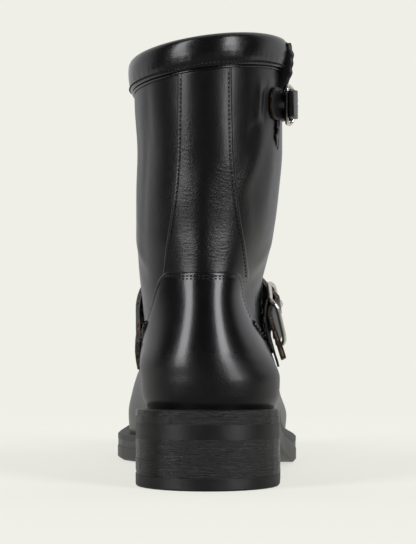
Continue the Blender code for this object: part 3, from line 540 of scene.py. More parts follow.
def sew(name, points, normals, pitch=2.5, length=1.9, thick=0.62, rise=0.1):
    """A row of stitches along a line on the leather."""
    lengths = np.concatenate([[0], np.cumsum(np.linalg.norm(np.diff(points, axis=0), axis=1))])
    at = np.arange(pitch / 2, lengths[-1], pitch)

    def along(values):
        return np.column_stack([np.interp(at, lengths, values[:, k]) for k in range(3)])

    centre, up = along(points), unit(along(normals))
    forward = unit(along(np.gradient(points, axis=0)))
    forward = unit(forward - (forward * up).sum(1, keepdims=True) * up)
    aside = np.cross(up, forward)
    bpy.ops.object.select_all(action="DESELECT")
    bpy.ops.mesh.primitive_uv_sphere_add(segments=8, ring_count=6, radius=1.0)
    row = bpy.context.object
    row.name = row.data.name = name
    one = np.array([v.co for v in row.data.vertices])
    faces = [tuple(f.vertices) for f in row.data.polygons]
    sink = -0.35 * thick * one[:, 0] ** 2
    points = (
        centre[:, None] + forward[:, None] * (one[:, 0] * length / 2)[None, :, None]
        + aside[:, None] * (one[:, 1] * thick / 2)[None, :, None]
        + up[:, None] * (rise + one[:, 2] * thick / 2 + sink)[None, :, None]
    )
    count = len(one)
    mesh = bpy.data.meshes.new(name)
    mesh.from_pydata(
        world(points.reshape(-1, 3)), [],
        [tuple(i + k * count for i in face) for k in range(len(at)) for face in faces],
    )
    row.data = mesh
    bpy.ops.object.shade_smooth()
    return dress(row, (THREAD,), "black_leather")


# Counter and vamp are cut from the same hide and stitched over the upper. Each is a sheet
# between four edges, given as places on the form, thinned and rounded at its cut edge. The
# counter's side edge is given as heights and distances from the heel.
COUNTER_EDGE_Z = (22.0, 40.0, 51.0, 61.0, 69.0, 75.0, 80.0, 85.5, 93.0, 101.0, 107.5, 111.5, 112.6)
COUNTER_EDGE = (100.0, 87.0, 74.0, 62.0, 52.0, 45.0, 39.5, 35.5, 32.5, 29.5, 26.0, 21.0, 13.0)
OVERLAY = 1.6                   # thickness of counter and vamp


def evened(line, count=200):
    """The same line with evenly spaced points; line holds places (around, level)."""
    points = form(line[:, 0], line[:, 1])[0]
    lengths = np.concatenate([[0], np.cumsum(np.linalg.norm(np.diff(points, axis=0), axis=1))])
    at = np.linspace(0, lengths[-1], count)
    return np.column_stack([np.interp(at, lengths, line[:, k]) for k in range(2)])


def between(bottom, top, left, right, u, v):
    """Places filling the area inside four edges."""
    def at(edge, share):
        marks = np.linspace(0, 1, len(edge))
        return np.stack([np.interp(share, marks, edge[:, k]) for k in range(2)], axis=-1)

    across, up = u[..., None], v[..., None]
    corners = (
        (1 - across) * (1 - up) * bottom[0] + across * (1 - up) * bottom[-1]
        + (1 - across) * up * top[0] + across * up * top[-1]
    )
    return (
        (1 - up) * at(bottom, u) + up * at(top, u)
        + (1 - across) * at(left, v) + across * at(right, v) - corners
    )


def crowd(share, amount=0.75):
    """Moves evenly spaced shares towards 0 and 1, where an edge needs fine rows."""
    return share - amount * np.sin(2 * math.pi * share) / (2 * math.pi)


def cut_edge(points, edges, rounding=0.9, drop=0.55):
    """How far a sheet thins towards its cut edges, which are lines of points."""
    line = np.concatenate(edges)
    tree = KDTree(len(line))
    for k, point in enumerate(line):
        tree.insert(point, k)
    tree.balance()
    away = np.array([tree.find(point)[2] for point in points])
    share = np.clip(1 - away / rounding, 0, 1)
    seam = 0.10 * np.exp(-((away - 2.6) / 1.3) ** 2)
    return -drop * share ** 2 - seam


def side_places(line, guess, level):
    """Places of a line given from the heel and in height, on one side of the form."""
    around, level = locate((1, 2), line, guess, level)
    return np.column_stack([around, level])


edge_z = np.linspace(26.5, 111.4, 120)
edge_line = np.column_stack([smooth(COUNTER_EDGE_Z, COUNTER_EDGE, edge_z), edge_z])
level_guess = np.interp(edge_z, (26, 50, 112), (0.2, 2.0, 9.5))
outer_edge = side_places(edge_line, 0.17, level_guess)
inner_edge = side_places(edge_line, -0.17, level_guess)
outer_edge[0, 1] = inner_edge[0, 1] = 0.0
SIDE_POINTS = 92                # the points of the edge after these run over the top
over_top = np.concatenate([inner_edge[SIDE_POINTS:], outer_edge[SIDE_POINTS:][::-1]])
COUNTER = {
    "left": evened(inner_edge[:SIDE_POINTS + 1]),
    "right": evened(outer_edge[:SIDE_POINTS + 1]),
    "top": evened(over_top),
    "bottom": evened(np.column_stack([np.linspace(inner_edge[0, 0], outer_edge[0, 0], 80),
                                      np.zeros(80)])),
}


def lay_overlay(area, thickness, open_edges):
    """A place(u, v) function for a sheet that covers an area of the form."""
    def lay(u, v):
        place = between(area["bottom"], area["top"], area["left"], area["right"], crowd(u), crowd(v))
        points, normals = form(place[:, 0], place[:, 1])
        push = folds(points) + thickness
        lines = [form(area[e][:, 0], area[e][:, 1])[0] for e in open_edges]
        push = push + cut_edge(points, lines)
        return points + push[..., None] * normals
    return lay


counter = sheet("counter_leather", 150, 110,
                lay_overlay(COUNTER, OVERLAY + 0.05, ("left", "right", "top")))
thicken(counter, OVERLAY)
dress(counter, (LASTED_LEATHER,), "black_leather", "counter")


def along_edges(area):
    """A line around an area's cut edges, with its normals and the way into the area."""
    edge = [area["left"], area["top"][1:], area["right"][::-1][1:]]
    line = evened(np.concatenate(edge), 700)
    points, normals = form(line[:, 0], line[:, 1])
    return points, normals, np.cross(unit(np.gradient(points, axis=0)), normals)


# every second point of the leather's face, for the stitches to be seated on
body_points = FACE[::2, :-1:2]
rows_count, ring_count = body_points.shape[:2]
body_points = body_points.reshape(-1, 3)
body_points = body_points + folds(body_points)[:, None] * NORMALS[::2, :-1:2].reshape(-1, 3)
body_faces = []
for j in range(rows_count - 1):
    for i in range(ring_count):
        k = (i + 1) % ring_count
        body_faces.append((j * ring_count + i, j * ring_count + k,
                           (j + 1) * ring_count + k, (j + 1) * ring_count + i))
BODY = BVHTree.FromPolygons([tuple(p) for p in body_points], body_faces)


def seat(points, normals, out):
    """Moves points near the leather onto it: out is the height over the form's face."""
    hits = []
    for point, normal in zip(points, normals):
        hit = BODY.ray_cast(Vector(point + 12 * normal), Vector(-normal))
        hits.append(np.array(hit[0]) + out * normal if hit[0] is not None else point)
    return np.array(hits)


points, normals, aside = along_edges(COUNTER)
for number, distance in enumerate((1.9, 3.3)):
    line = seat(points + distance * aside, normals, OVERLAY - 0.05)
    top = np.flatnonzero((abs(line[:, 0] + 0.8) < 12.0) & (line[:, 2] > 90))
    across = slice(top[0], top[-1])
    sew(f"counter_top_stitches_{number + 1}", line[across], normals[across],
        pitch=2.2, length=1.45, thick=0.95)
    if number == 0:
        for name, down in (("inner", slice(14, top[0] - 6)), ("outer", slice(top[-1] + 6, -14))):
            sew(f"counter_{name}_stitches", line[down], normals[down],
                pitch=2.3, length=1.6, thick=0.34, rise=0.02)


# The vamp starts at the counter's edge with a narrow gap, and its top edge crosses the shin. It
# is sewn along the top with two rows.
VAMP_TOP = (46.0, 70.0, 90.0, 104.0, 114.0, 122.0, 130.0, 160.0)
VAMP_TOP_Z = (58.0, 76.0, 92.0, 108.0, 124.0, 136.0, 143.0, 150.0)
top_y = np.linspace(61.0, 127.5, 60)
top_line = np.column_stack([top_y, smooth(VAMP_TOP, VAMP_TOP_Z, top_y)])
top_guess = np.interp(top_y, (60, 127), (4.0, 11.0))
outer_top = side_places(top_line, np.interp(top_y, (60, 127), (0.15, 0.40)), top_guess)
inner_top = side_places(top_line, -np.interp(top_y, (60, 127), (0.15, 0.40)), top_guess)
shin = np.array([[0.5, 11.22]])
inner_top[:, 0] += 1.0
VAMP_GAP = 0.0018               # as a share of the way around
meet = np.argmin(abs(edge_line[:, 1] - top_line[0, 1]))
VAMP = {
    "left": evened(np.vstack([outer_edge[:meet], outer_top[:1]]) + (VAMP_GAP, 0.0)),
    "right": evened(np.vstack([inner_edge[:meet] + (1.0, 0.0), inner_top[:1]]) - (VAMP_GAP, 0.0)),
    "top": evened(np.concatenate([outer_top + (VAMP_GAP, 0), shin, inner_top[::-1] - (VAMP_GAP, 0)])),
}
VAMP["bottom"] = evened(np.column_stack([
    np.linspace(VAMP["left"][0, 0], VAMP["right"][0, 0], 200), np.zeros(200)]), 400)
vamp = sheet("vamp_leather", 190, 120, lay_overlay(VAMP, OVERLAY, ("left", "right", "top")))
thicken(vamp, OVERLAY)
dress(vamp, (LASTED_LEATHER,), "black_leather", "vamp")
for number, distance in enumerate((1.8, 3.4)):
    top = VAMP["top"]
    points, normals = form(top[:, 0], top[:, 1])
    aside = np.cross(unit(np.gradient(points, axis=0)), normals)
    line = seat(points + distance * aside, normals, OVERLAY - 0.05)
    sew(f"vamp_stitches_{number + 1}", line[6:-6], normals[6:-6])


# The back strip covers the seam at the back of the shaft. Its leather is thinner and looser,
# so it is crossed by fine wrinkles above the counter, and a row of stitches runs down each side.
STRIP_HEIGHT = (112.0, 125.0, 140.0, 155.0, 175.0, 225.0)
STRIP_HALF = (21.6, 20.0, 17.6, 15.6, 14.2, 13.4)
STRIP = 1.1                     # its thickness
STRIP_LOW, STRIP_TOP = 106.5, 214.4     # it runs down a little under the counter
STRIP_MIDDLE = -0.5             # x of its middle line
STRIP_TILT = 0.12               # its top leans with the collar
# middle of each patch of wrinkles (x, height), its half sizes, depth and spacing
WRINKLES = (
    ((6.5, 123.0), (6.5, 11.0), 0.0374, 1.7),
    ((-6.0, 122.0), (6.0, 10.0), 0.0242, 1.9),
    ((-11.0, 151.0), (6.0, 5.0), 0.0242, 2.1),
    ((6.0, 150.0), (6.0, 9.0), 0.0154, 2.4),
    ((9.5, 163.0), (4.5, 5.0), 0.0264, 1.9),
    ((-10.5, 172.0), (5.0, 9.0), 0.0176, 2.3),
    ((-3.0, 137.0), (9.0, 5.0), 0.0132, 2.2),
)


def wrinkles(points):
    """How far the fine wrinkles push each point outwards, in millimetres."""
    x, z = points[..., 0], points[..., 2]
    push = np.zeros(x.shape)
    for k, ((cx, cz), (wide, high), depth, spacing) in enumerate(WRINKLES):
        mask = np.exp(-((x - cx) / wide) ** 2 - ((z - cz) / high) ** 2)
        bend = 0.9 * np.sin(x / 2.7 + k) + 0.5 * np.sin(x / 1.3 + z / 3.1 + 2 * k)
        wave = np.sin(2 * math.pi * (z + 0.16 * (x - cx) + bend * 0.45) / spacing)
        cross = np.sin(2 * math.pi * (z - 0.25 * x) / (spacing * 1.7) + k)
        push += depth * mask * (np.where(wave > 0, wave, 0.6 * wave) + 0.4 * cross)
    return push


def at_back(x, z):
    """Points and normals of the form's back at x and a height."""
    around, level = locate((0, 2), np.stack([x, z], axis=-1), x / 240.0,
                           np.interp(z, (112, 230), (9.5, 15)))
    return form(around, level)


def lay_strip(u, v):
    z = STRIP_LOW + v * (STRIP_TOP - STRIP_LOW)
    half = smooth(STRIP_HEIGHT, STRIP_HALF, z)
    x = STRIP_MIDDLE + (2 * crowd(u, 0.4) - 1) * half
    z = z + STRIP_TILT * x * v
    points, normals = at_back(x, z)
    edge = np.minimum(half - abs(x - STRIP_MIDDLE), 5.0)
    below = np.clip((STRIP_HEIGHT[0] - z) / 6.0, 0, 1)
    push = STRIP - 0.3 * below + folds(points) + wrinkles(points)
    push += -0.45 * np.clip(1 - edge / 0.9, 0, 1) ** 2 - 0.12 * np.exp(-((edge - 1.7) / 0.6) ** 2)
    return points + push[:, None] * normals


strip = sheet("back_strip_leather", 96, 220, lay_strip)
thicken(strip, STRIP)
dress(strip, (SHAFT_LEATHER,), "black_leather", "back_strip")
heights = np.linspace(109.0, 213.2, 320)
for side, name in ((1, "outer"), (-1, "inner")):
    x = STRIP_MIDDLE + side * (smooth(STRIP_HEIGHT, STRIP_HALF, heights) - 1.7)
    points, normals = at_back(x, heights + STRIP_TILT * x * (heights - 113) / 100)
    line = points + (STRIP + folds(points) - 0.1)[:, None] * normals
    sew(f"strip_stitches_{name}", line, normals, pitch=2.3, length=1.75)


# The collar is bound with a folded band of the same leather, padded a little by its turned-in
# edge, with one row of stitches just above its lower edge. A round bead lies under the band.
BAND = 14.5                     # how far it reaches down from the collar


def below_collar(around, drop):
    """Levels of the places a given distance under the collar."""
    top = form(around, np.full(np.shape(around), float(COLLAR)))[0]
    low, high = np.full(np.shape(around), COLLAR - 2.0), np.full(np.shape(around), float(COLLAR))
    for _ in range(24):
        middle = (low + high) / 2
        beyond = np.linalg.norm(top - form(around, middle)[0], axis=-1) > drop
        low, high = np.where(beyond, middle, low), np.where(beyond, high, middle)
    return middle


BAND_PROFILE = np.array((        # drop under the collar, and out from the face
    (BAND - 0.2, 0.2), (BAND, 0.9), (BAND - 0.15, 1.7), (BAND - 0.7, 2.1), (BAND - 1.9, 2.25),
    (BAND * 0.72, 2.75), (BAND * 0.5, 3.05), (BAND * 0.28, 3.05), (2.2, 2.85), (0.6, 2.5),
    (-0.7, 1.9), (-1.6, 0.9), (-2.0, -0.4), (-1.6, -1.6), (-0.8, -2.3), (0.8, -2.5),
    (6.0, -2.6), (11.5, -2.6), (12.0, -2.35), (11.5, -2.22), (6.0, -2.22), (0.2, -2.22),
    (-0.1, -1.4), (-0.1, -0.2), (0.3, 0.15), (BAND * 0.5, 0.12),
))
near, far = slit_edges(np.array([COLLAR - 0.3]))
band_start, band_stop = far[0] + 0.001, 1 + near[0] - 0.001      # ends of the band at the slit
BEAD_RADIUS = 0.62
BEAD_DROP, BEAD_OUT = BAND + 0.8, 0.55


def lay_band(u, v):
    around = band_start + u * (band_stop - band_start)
    marks = np.linspace(0, 1, len(BAND_PROFILE) + 1)
    looped = np.vstack([BAND_PROFILE, BAND_PROFILE[:1]])
    drop = np.interp(v, marks, looped[:, 0])
    out = np.interp(v, marks, looped[:, 1])
    points, normals = form(around, below_collar(around, np.maximum(drop, 0)))
    outside = np.clip(out, 0, 1)
    turn = around * 2 * math.pi
    pucker = 0.05 * np.sin(turn * 62 + 1.5 * np.sin(turn * 9))
    pucker = pucker * np.exp(-((drop - 10.5) / 3.0) ** 2)
    swell = 0.35 * np.sin(turn * 5 + 0.7) + 0.25 * np.sin(turn * 11 + drop / 5)
    out = out + outside * (pucker + 0.5 * swell * np.clip(drop / 4, 0, 1))
    points = points + (out + folds(points) * 0.3)[:, None] * normals
    points[:, 2] += np.maximum(-drop, 0)
    return points


def close_ends(piece):
    """Fills the open ends of a tube."""
    with editing(piece) as bm:
        bmesh.ops.holes_fill(bm, edges=[e for e in bm.edges if e.is_boundary], sides=0)
        bmesh.ops.recalc_face_normals(bm, faces=bm.faces)


def soften(piece, steps):
    """Evens out a piece's surface."""
    evening = piece.modifiers.new("evening", "SMOOTH")
    evening.factor, evening.iterations = 0.5, steps
    bpy.ops.object.modifier_apply(modifier=evening.name)


band = sheet("collar_band_leather", 300, 104, lay_band, join=True)
close_ends(band)
soften(band, 3)
dress(band, (BAND_LEATHER,), "black_leather", "collar_band")

turn = np.linspace(band_start + 0.004, band_stop - 0.004, 900)
points, normals = form(turn, below_collar(turn, BAND - 1.7))
sew("collar_stitches", points + 2.2 * normals, normals, pitch=2.1, length=1.7, thick=1.1,
    rise=0.15)


def lay_bead(u, v):
    around = band_start + 0.003 + u * (band_stop - band_start - 0.006)
    level = below_collar(around, BEAD_DROP)
    points, normals = form(around, level)
    down = unit(form(around, level - 0.05)[0] - points)
    angle = -2 * math.pi * v
    return (points + (BEAD_OUT + BEAD_RADIUS * np.cos(angle))[:, None] * normals
            + (BEAD_RADIUS * np.sin(angle))[:, None] * down)


bead = sheet("collar_bead_leather", 420, 12, lay_bead, join=True)
close_ends(bead)
dress(bead, (BAND_LEATHER,), "black_leather", "collar_bead")


# Straps and chapes are cut from thicker leather that was dyed on its two faces only, so the
# middle of a cut edge shows as a line of tan; that line is drawn on the instep strap and the top
# chape. They keep the shapes they have in the frame, with their corners eased.
def raw_edge_finish():
    raw = new_finish("raw_edge")
    fibre = raw.noise(0.5, 4.0, 0.7)
    dirt = raw.noise(3.0, 3.0, 0.6, seed=4.0)
    raw.set(
        base_color=raw.mix(dirt.fade(0.40, 0.62), (0.030, 0.017, 0.010), (0.300, 0.150, 0.060)),
        roughness=0.6 + 0.25 * fibre, normal=raw.bump(fibre, 0.12, 0.7),
    )
    return raw.owner


RAW_EDGE = raw_edge_finish()


def strap_finish():
    hide = new_finish("strap_leather")
    mottle = hide.noise(4.0, 4.0, 0.6)
    pore = hide.cells(0.8)
    crack = hide.noise(2.2, 3.0, 0.65, seed=5.0)
    hide.set(
        base_color=hide.mix(mottle, (0.007, 0.007, 0.0075), (0.015, 0.0145, 0.0145)),
        roughness=0.34 + 0.2 * mottle, coat_weight=0.3, coat_roughness=0.22,
    )
    relief = hide.bump(crack, 0.25, 0.5)
    hide.set(normal=hide.bump(pore, 0.1, 0.6, relief))
    return hide.owner


STRAP_LEATHER = strap_finish()


def copy_of(node, name):
    """A copy of a frame node as one welded mesh of quads."""
    source = frame["nodes"][node]
    bpy.ops.object.select_all(action="DESELECT")
    piece = bpy.data.objects.new(name, source.data.copy())
    bpy.context.scene.collection.objects.link(piece)
    piece.matrix_world = source.matrix_world.copy()
    piece.data.materials.clear()
    bpy.context.view_layer.objects.active = piece
    piece.select_set(True)
    bpy.ops.object.transform_apply(location=True, rotation=True, scale=True)
    with editing(piece) as bm:
        bmesh.ops.remove_doubles(bm, verts=bm.verts, dist=1e-5)
        bmesh.ops.join_triangles(bm, faces=bm.faces, angle_face_threshold=0.6,
                                 angle_shape_threshold=0.9)
    return piece


def ease(piece, sharp_angle, crease, levels):
    """Rounds a copied solid: edges sharper than an angle in degrees keep a crease."""
    with editing(piece) as bm:
        named = bm.edges.layers.float
        creases = named.get("crease_edge") or named.new("crease_edge")
        for edge in bm.edges:
            if len(edge.link_faces) == 2 and edge.calc_face_angle(0.0) > math.radians(sharp_angle):
                edge[creases] = crease
    rounder = piece.modifiers.new("round", "SUBSURF")
    rounder.levels = rounder.render_levels = levels
    bpy.context.view_layer.objects.active = piece
    bpy.ops.object.modifier_apply(modifier="round")
    bpy.ops.object.shade_smooth()


def mark_raw(piece, dyed, thickest=5.0):
    """Gives the raw-edge material to the faces where the leather is cut, which have a greater
    depth of leather behind them than its thickness, all but a dyed rim."""
    with editing(piece) as bm:
        tree = BVHTree.FromBMesh(bm)
        for face in bm.faces:
            start = face.calc_center_median() - face.normal * 1e-5
            depth = tree.ray_cast(start, -face.normal)[3]
            face.material_index = int(depth is not None and depth > thickest * MM)
        cut = [face for face in bm.faces if face.material_index == 1]
        rim = bmesh.ops.inset_region(bm, faces=cut, thickness=dyed * MM, use_even_offset=False)
        for face in rim["faces"]:
            face.material_index = 0


DYED_RIM = {"instep_strap": 0.85, "top_chape": 0.38}     # beside the raw middle of a cut edge
for node in ("instep_strap", "instep_chape", "top_strap", "top_chape"):
    strap = copy_of(node, node + "_leather")
    strap.data.materials.append(SOFT_LEATHER if node == "top_chape" else STRAP_LEATHER)
    if node in DYED_RIM:
        strap.data.materials.append(RAW_EDGE)
        mark_raw(strap, DYED_RIM[node])
    ease(strap, 45.0, 0.55, 2)
    dress(strap, (), "black_leather", node)


# The gusset is a thin piece of soft leather folded outwards in the slit, with its edges left
# rough. It stands out as two ridges where the strap draws the top of the slit together, and a
# torn fold of it hangs over the slit's rear edge under the strap.
GUSSET_Z = (170.0, 198.0, 206.0, 213.0, 221.0, 228.0, 232.0)
GUSSET_RIDGE = (-1.6, -0.8, 1.4, 4.4, 6.3, 5.6, 4.2)
GUSSET_LEATHER = 1.1            # its thickness
GUSSET_NARROWER = 1.6           # than the slit
GUSSET_FLOOR = -2.5             # out of the face, between the ridges
TORN_FOLD = (187.0, 15.0, 0.27)     # its height, half its length, and where it is across
TORN_REACH, TORN_OUT = 6.4, 1.1     # how far back and out of the face it hangs


def lay_gusset(u, v):
    z = GUSSET_Z[0] + v * (GUSSET_Z[-1] - GUSSET_Z[0])
    middle, width = slit_at(np.clip((z - SLIT_Z) / (COLLAR_Z - SLIT_Z), 0, 1))
    ridge = smooth(GUSSET_Z, GUSSET_RIDGE, z)
    two = abs(np.sin(2 * math.pi * u)) ** 0.75
    lean = (u - 0.5) * 2
    raised = np.clip(ridge / 6, 0, 1)
    from_heel = middle + lean * (width - GUSSET_NARROWER) * (0.42 + 0.22 * two * raised)
    from_heel += 0.5 * np.sin(z / 5.5 + 2 * u)
    torn_z, torn_half, torn_u = TORN_FOLD
    hanging = np.clip(1 - abs(z - torn_z) / torn_half, 0, 1) ** 0.5
    hanging = hanging * np.clip(2 - 5 * abs(u - torn_u), 0, 1)
    from_heel -= hanging * (TORN_REACH + 1.1 * np.sin(z / 1.9) + 0.7 * np.sin(z / 0.9))
    on_form = np.stack([from_heel, np.minimum(z, 227.5)], axis=-1)
    around, level = locate((1, 2), on_form, 0.22, 14.0)
    points, normals = form(around, level)
    uneven = 0.55 * np.sin(z / 1.7 + 5 * u) + 0.45 * np.sin(z / 0.8 + 9 * u) + 0.7 * np.sin(z / 4.1)
    out = GUSSET_FLOOR + (ridge - GUSSET_FLOOR) * two + uneven * two * raised * 0.6
    out = np.where(lean > 0, out - 0.25 * np.clip(ridge, 0, 9) * two, out)
    out = out + hanging * (TORN_OUT - out + 0.35 * uneven)
    points = points + out[:, None] * normals
    points[:, 2] = z + 0.2 * out
    return points


gusset = sheet("gusset_leather", 44, 150, lay_gusset)
thicken(gusset, GUSSET_LEATHER, offset=0.0)
dress(gusset, (SOFT_LEATHER,), "gusset_leather", "gusset")


# Buckles are cast in brass and nickel plated, a little warm in colour, with fine handling
# scratches. Each has a frame, a bar across its middle and a prong.
def nickel_finish():
    nickel = new_finish("nickel_plate")
    scratch = nickel.noise(0.6, 4.0, 0.7, stretch=(1.0, 0.25, 1.0))
    cloud = nickel.noise(3.5, 3.0, seed=6.0)
    nickel.set(
        base_color=nickel.mix(cloud, (0.78, 0.72, 0.64), (0.92, 0.88, 0.81)), metallic=1.0,
        roughness=0.16 + 0.16 * scratch, normal=nickel.bump(scratch, 0.03, 0.4),
    )
    return nickel.owner


NICKEL = nickel_finish()
for node in ("instep_buckle", "instep_prong", "top_buckle", "top_prong"):
    metal = copy_of(node, node + "_metal")
    cast = metal.modifiers.new("cast", "REMESH")
    cast.mode = "VOXEL"
    cast.voxel_size = (0.3 if node.startswith("instep") else 0.2) * MM
    cast.use_smooth_shade = True
    bpy.ops.object.modifier_apply(modifier="cast")
    soften(metal, 6)
    dress(metal, (NICKEL,), "nickel", node)


# The sole is built up in layers: rubber outsole, leather midsole and a welt stitched to the
# upper. The edges are trimmed together, dyed black and left slightly uneven.
def sole_edge_finish(name, dark, light, gloss):
    edge = new_finish(name)
    layer = edge.noise(0.55, 3.0, 0.6, stretch=(0.035, 0.035, 1.0))
    ply = edge.noise(1.7, 2.0, 0.5, stretch=(0.02, 0.02, 1.0), seed=7.0)
    scuff = edge.noise(3.0, 5.0, 0.7, stretch=(0.35, 0.35, 1.6), seed=9.0)
    streak = edge.noise(0.30, 4.0, 0.7, stretch=(0.05, 0.05, 1.0), seed=7.3)
    worn = scuff.fade(0.52, 0.70) * streak.fade(0.50, 0.62)
    relief = edge.bump(ply, 0.30, 0.6, edge.bump(layer, 0.20, 0.7))
    edge.set(
        base_color=edge.mix(worn, edge.mix(layer, dark, light), (0.10, 0.088, 0.074)),
        roughness=0.27 - gloss + 0.18 * layer + 0.1 * scuff,
        normal=edge.bump(streak, 0.36, 0.9, edge.bump(scuff, 0.10, 0.4, relief)),
    )
    return edge.owner


STACKED = sole_edge_finish("stacked_edge", (0.0022, 0.0021, 0.0020), (0.0060, 0.0055, 0.0050),
                           gloss=0.12)
MIDSOLE_EDGE = sole_edge_finish("midsole_edge", (0.004, 0.0038, 0.0037), (0.009, 0.0085, 0.008),
                                gloss=0.04)


def rubber_finish():
    rubber = new_finish("rubber")
    grain = rubber.noise(0.7, 4.0, 0.6)
    dust = rubber.noise(6.0, 5.0, 0.7, seed=1.0)
    rubber.set(
        base_color=rubber.mix(dust.fade(0.45, 0.75), (0.0055, 0.0055, 0.0056),
                              (0.014, 0.0135, 0.013)),
        roughness=0.34 + 0.2 * grain, normal=rubber.bump(grain, 0.1, 0.5),
    )
    return rubber.owner


RUBBER = rubber_finish()


def welt_finish():
    welt = new_finish("welt_top")
    fibre = welt.noise(0.8, 4.0, 0.6)
    wear = welt.noise(5.0, 4.0, 0.6, seed=2.0)
    welt.set(
        base_color=welt.mix(wear, (0.006, 0.0058, 0.0055), (0.018, 0.0165, 0.015)),
        roughness=0.38 + 0.2 * fibre, normal=welt.bump(fibre, 0.15, 0.5),
    )
    return welt.owner


WELT = welt_finish()
SEAM_CLOSED = 0.29              # the glued layers meet, with no gap between them
HEEL_BREAST = 40.0              # forwards of the heel's centre
# height over the sole's underside of the middle of each layer that follows its curve
LAYER_MIDDLES = {"outsole": 3.7, "midsole": 9.7, "welt": 13.5, "heel_rand": 13.5}
WORN_EDGE = 0.6                 # points lower than this over the underside are on the worn edge
RIM_LOW, RIM_HIGH = 0.9, 2.0    # the rim above the worn edge lies between these heights
WORN_WIDTH = 2.2
layers = (
    ("outsole", RUBBER, "outsole_rubber"), ("midsole", MIDSOLE_EDGE, "sole_leather"),
    ("welt", WELT, "welt_leather"), ("heel_rand", STACKED, "welt_leather"),
    ("heel_wedge_lift", STACKED, "heel_leather"), ("heel_lift_3", STACKED, "heel_leather"),
    ("heel_lift_2", STACKED, "heel_leather"), ("heel_lift_1", STACKED, "heel_leather"),
    ("heel_top_lift", RUBBER, "top_lift_rubber"),
)
for node, material, slot in layers:
    layer = copy_of(node, node + "_layer")
    places = np.array([vertex.co for vertex in layer.data.vertices]) / MM
    over_sole = places[:, 2] - (sole_top(places[:, 1] + HEEL_CENTRE) - SOLE_STACK)
    if node in LAYER_MIDDLES:
        places[over_sole > LAYER_MIDDLES[node], 2] += SEAM_CLOSED
    else:
        low, high = places[:, 2].min(), places[:, 2].max()
        places[:, 2] = low + (places[:, 2] - low) * (1 + SEAM_CLOSED / (high - low))
    if node == "outsole":
        # over the heel the outsole's worn lower edge lies flush with the lift below it
        lower = (over_sole < WORN_EDGE) & (places[:, 1] < HEEL_BREAST)
        rim = places[(over_sole > RIM_LOW) & (over_sole < RIM_HIGH), :2]
        for index in np.flatnonzero(lower):
            away = np.hypot(*(rim - places[index, :2]).T)
            if away.min() < WORN_WIDTH:
                places[index, :2] = rim[np.argmin(away)]
    layer.data.vertices.foreach_set("co", (places * MM).ravel())
    bpy.context.view_layer.objects.active = layer
    bpy.ops.mesh.customdata_custom_splitnormals_clear()
    bpy.ops.object.shade_smooth_by_angle(angle=math.radians(35))
    dress(layer, (material,), slot, node)

insole = copy_of("insole", "insole_layer")
ease(insole, 32.0, 1.0, 2)
dress(insole, (LINING,), "insole_leather", "insole")


# The boot stands on a pale floor in a bright studio: a white backdrop behind it and at its
# sides, two tall narrow lights towards the camera's side, and dark between them. Near the boot
# the floor takes its shadow, and farther off it glows as the backdrop does.
PALE = (0.863, 0.863, 0.799)
floor_finish = new_finish("pale_floor")
seen = Amount(floor_finish, floor_finish.add("ShaderNodeLightPath").outputs["Is Camera Ray"])
behind = floor_finish.coordinate(1).fade(-0.12, 0.12) * (1 - seen)
near = seen * (1 - floor_finish.coordinate(1).fade(0.30, 0.75))
floor_finish.set(
    base_color=floor_finish.mix(near, (0.15, 0.15, 0.14), (0.40, 0.40, 0.37)), roughness=1.0,
    specular_ior_level=0.0,
)
glow = floor_finish.add("ShaderNodeEmission", {}, {
    "Color": PALE, "Strength": seen * 0.821 - near * 0.168 + 0.07 + behind * 0.5,
})
both = floor_finish.add("ShaderNodeAddShader", {}, {
    0: glow.outputs[0], 1: floor_finish.shader.outputs[0],
})
surface = next(n for n in floor_finish.tree.nodes if n.type == "OUTPUT_MATERIAL").inputs["Surface"]
floor_finish.put(surface, both.outputs[0])
bpy.ops.object.select_all(action="DESELECT")
bpy.ops.mesh.primitive_plane_add(size=2.4, location=(0.0, 0.0, -0.0002))
floor = bpy.context.object
floor.name = "floor"
floor.data.materials.append(floor_finish.owner)

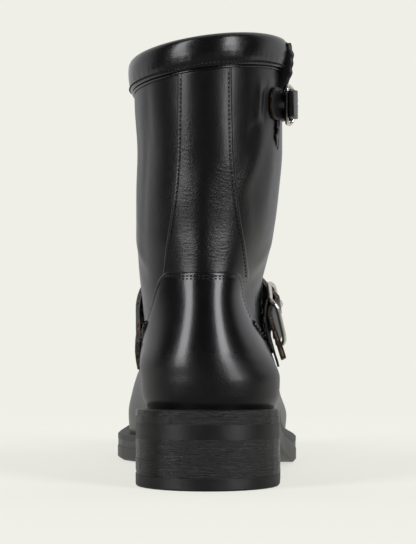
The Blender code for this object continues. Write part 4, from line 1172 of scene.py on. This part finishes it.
studio = Finish(bpy.data.worlds.new("studio"))
bpy.context.scene.world = studio.owner
for node in list(studio.tree.nodes):
    if node.type in ("BACKGROUND", "OUTPUT_WORLD"):
        studio.tree.nodes.remove(node)
view_direction = studio.add("ShaderNodeTexCoord").outputs["Generated"]
parts = studio.add("ShaderNodeSeparateXYZ", {}, {0: view_direction})
dx, dy, dz = (Amount(studio, parts.outputs[k]) for k in range(3))
bearing = dx.math("ARCTAN2", dy * -1.0) * (180 / math.pi)
away = bearing.math("ABSOLUTE")
# bearings are in degrees from the camera's side, positive towards the boot's outer side
backdrop = away.fade(94.0, 122.0) * 0.56
outer_light = (bearing - 50.0).math("ABSOLUTE").fade(14.0, 7.0)
inner_light = (bearing + 52.0).math("ABSOLUTE").fade(14.0, 7.0)
lights = (outer_light * 6.6 + inner_light * 6.1) * dz.fade(-0.22, 0.05) * dz.fade(0.80, 0.60)
ceiling = dz.fade(0.75, 1.0) * 0.15
amount = backdrop + lights + ceiling + 0.024
lit = studio.add("ShaderNodeBackground", {}, {"Color": (0.972, 0.974, 1.0), "Strength": amount})
plain = studio.add("ShaderNodeBackground", {}, {"Color": PALE, "Strength": 1.0})
rays = studio.add("ShaderNodeLightPath")
choice = studio.add("ShaderNodeMixShader", {}, {
    0: rays.outputs["Is Camera Ray"], 1: lit.outputs[0], 2: plain.outputs[0],
})
studio.add("ShaderNodeOutputWorld", {}, {0: choice.outputs[0]})

# The camera is level with the ankle, about 1.1 m behind the heel and a little to the outer side.
yaw = math.radians(2.0)
distance, eye_height = 1.086, 0.1085
picture_height, raised = 544, 6.0       # in pixels; the picture's middle is above eye height
aim = (0.00152, -HEEL_CENTRE * MM)      # the place at the back of the heel that it faces
bpy.ops.object.camera_add(
    location=(aim[0] + distance * math.sin(yaw), aim[1] - distance * math.cos(yaw), eye_height),
    rotation=(math.radians(90), 0.0, yaw),
)
camera = bpy.context.object
camera.data.lens = 141.6
camera.data.shift_y = raised / picture_height
camera.data.clip_start = 0.05
bpy.context.scene.camera = camera
bpy.context.scene.view_settings.view_transform = "Standard"
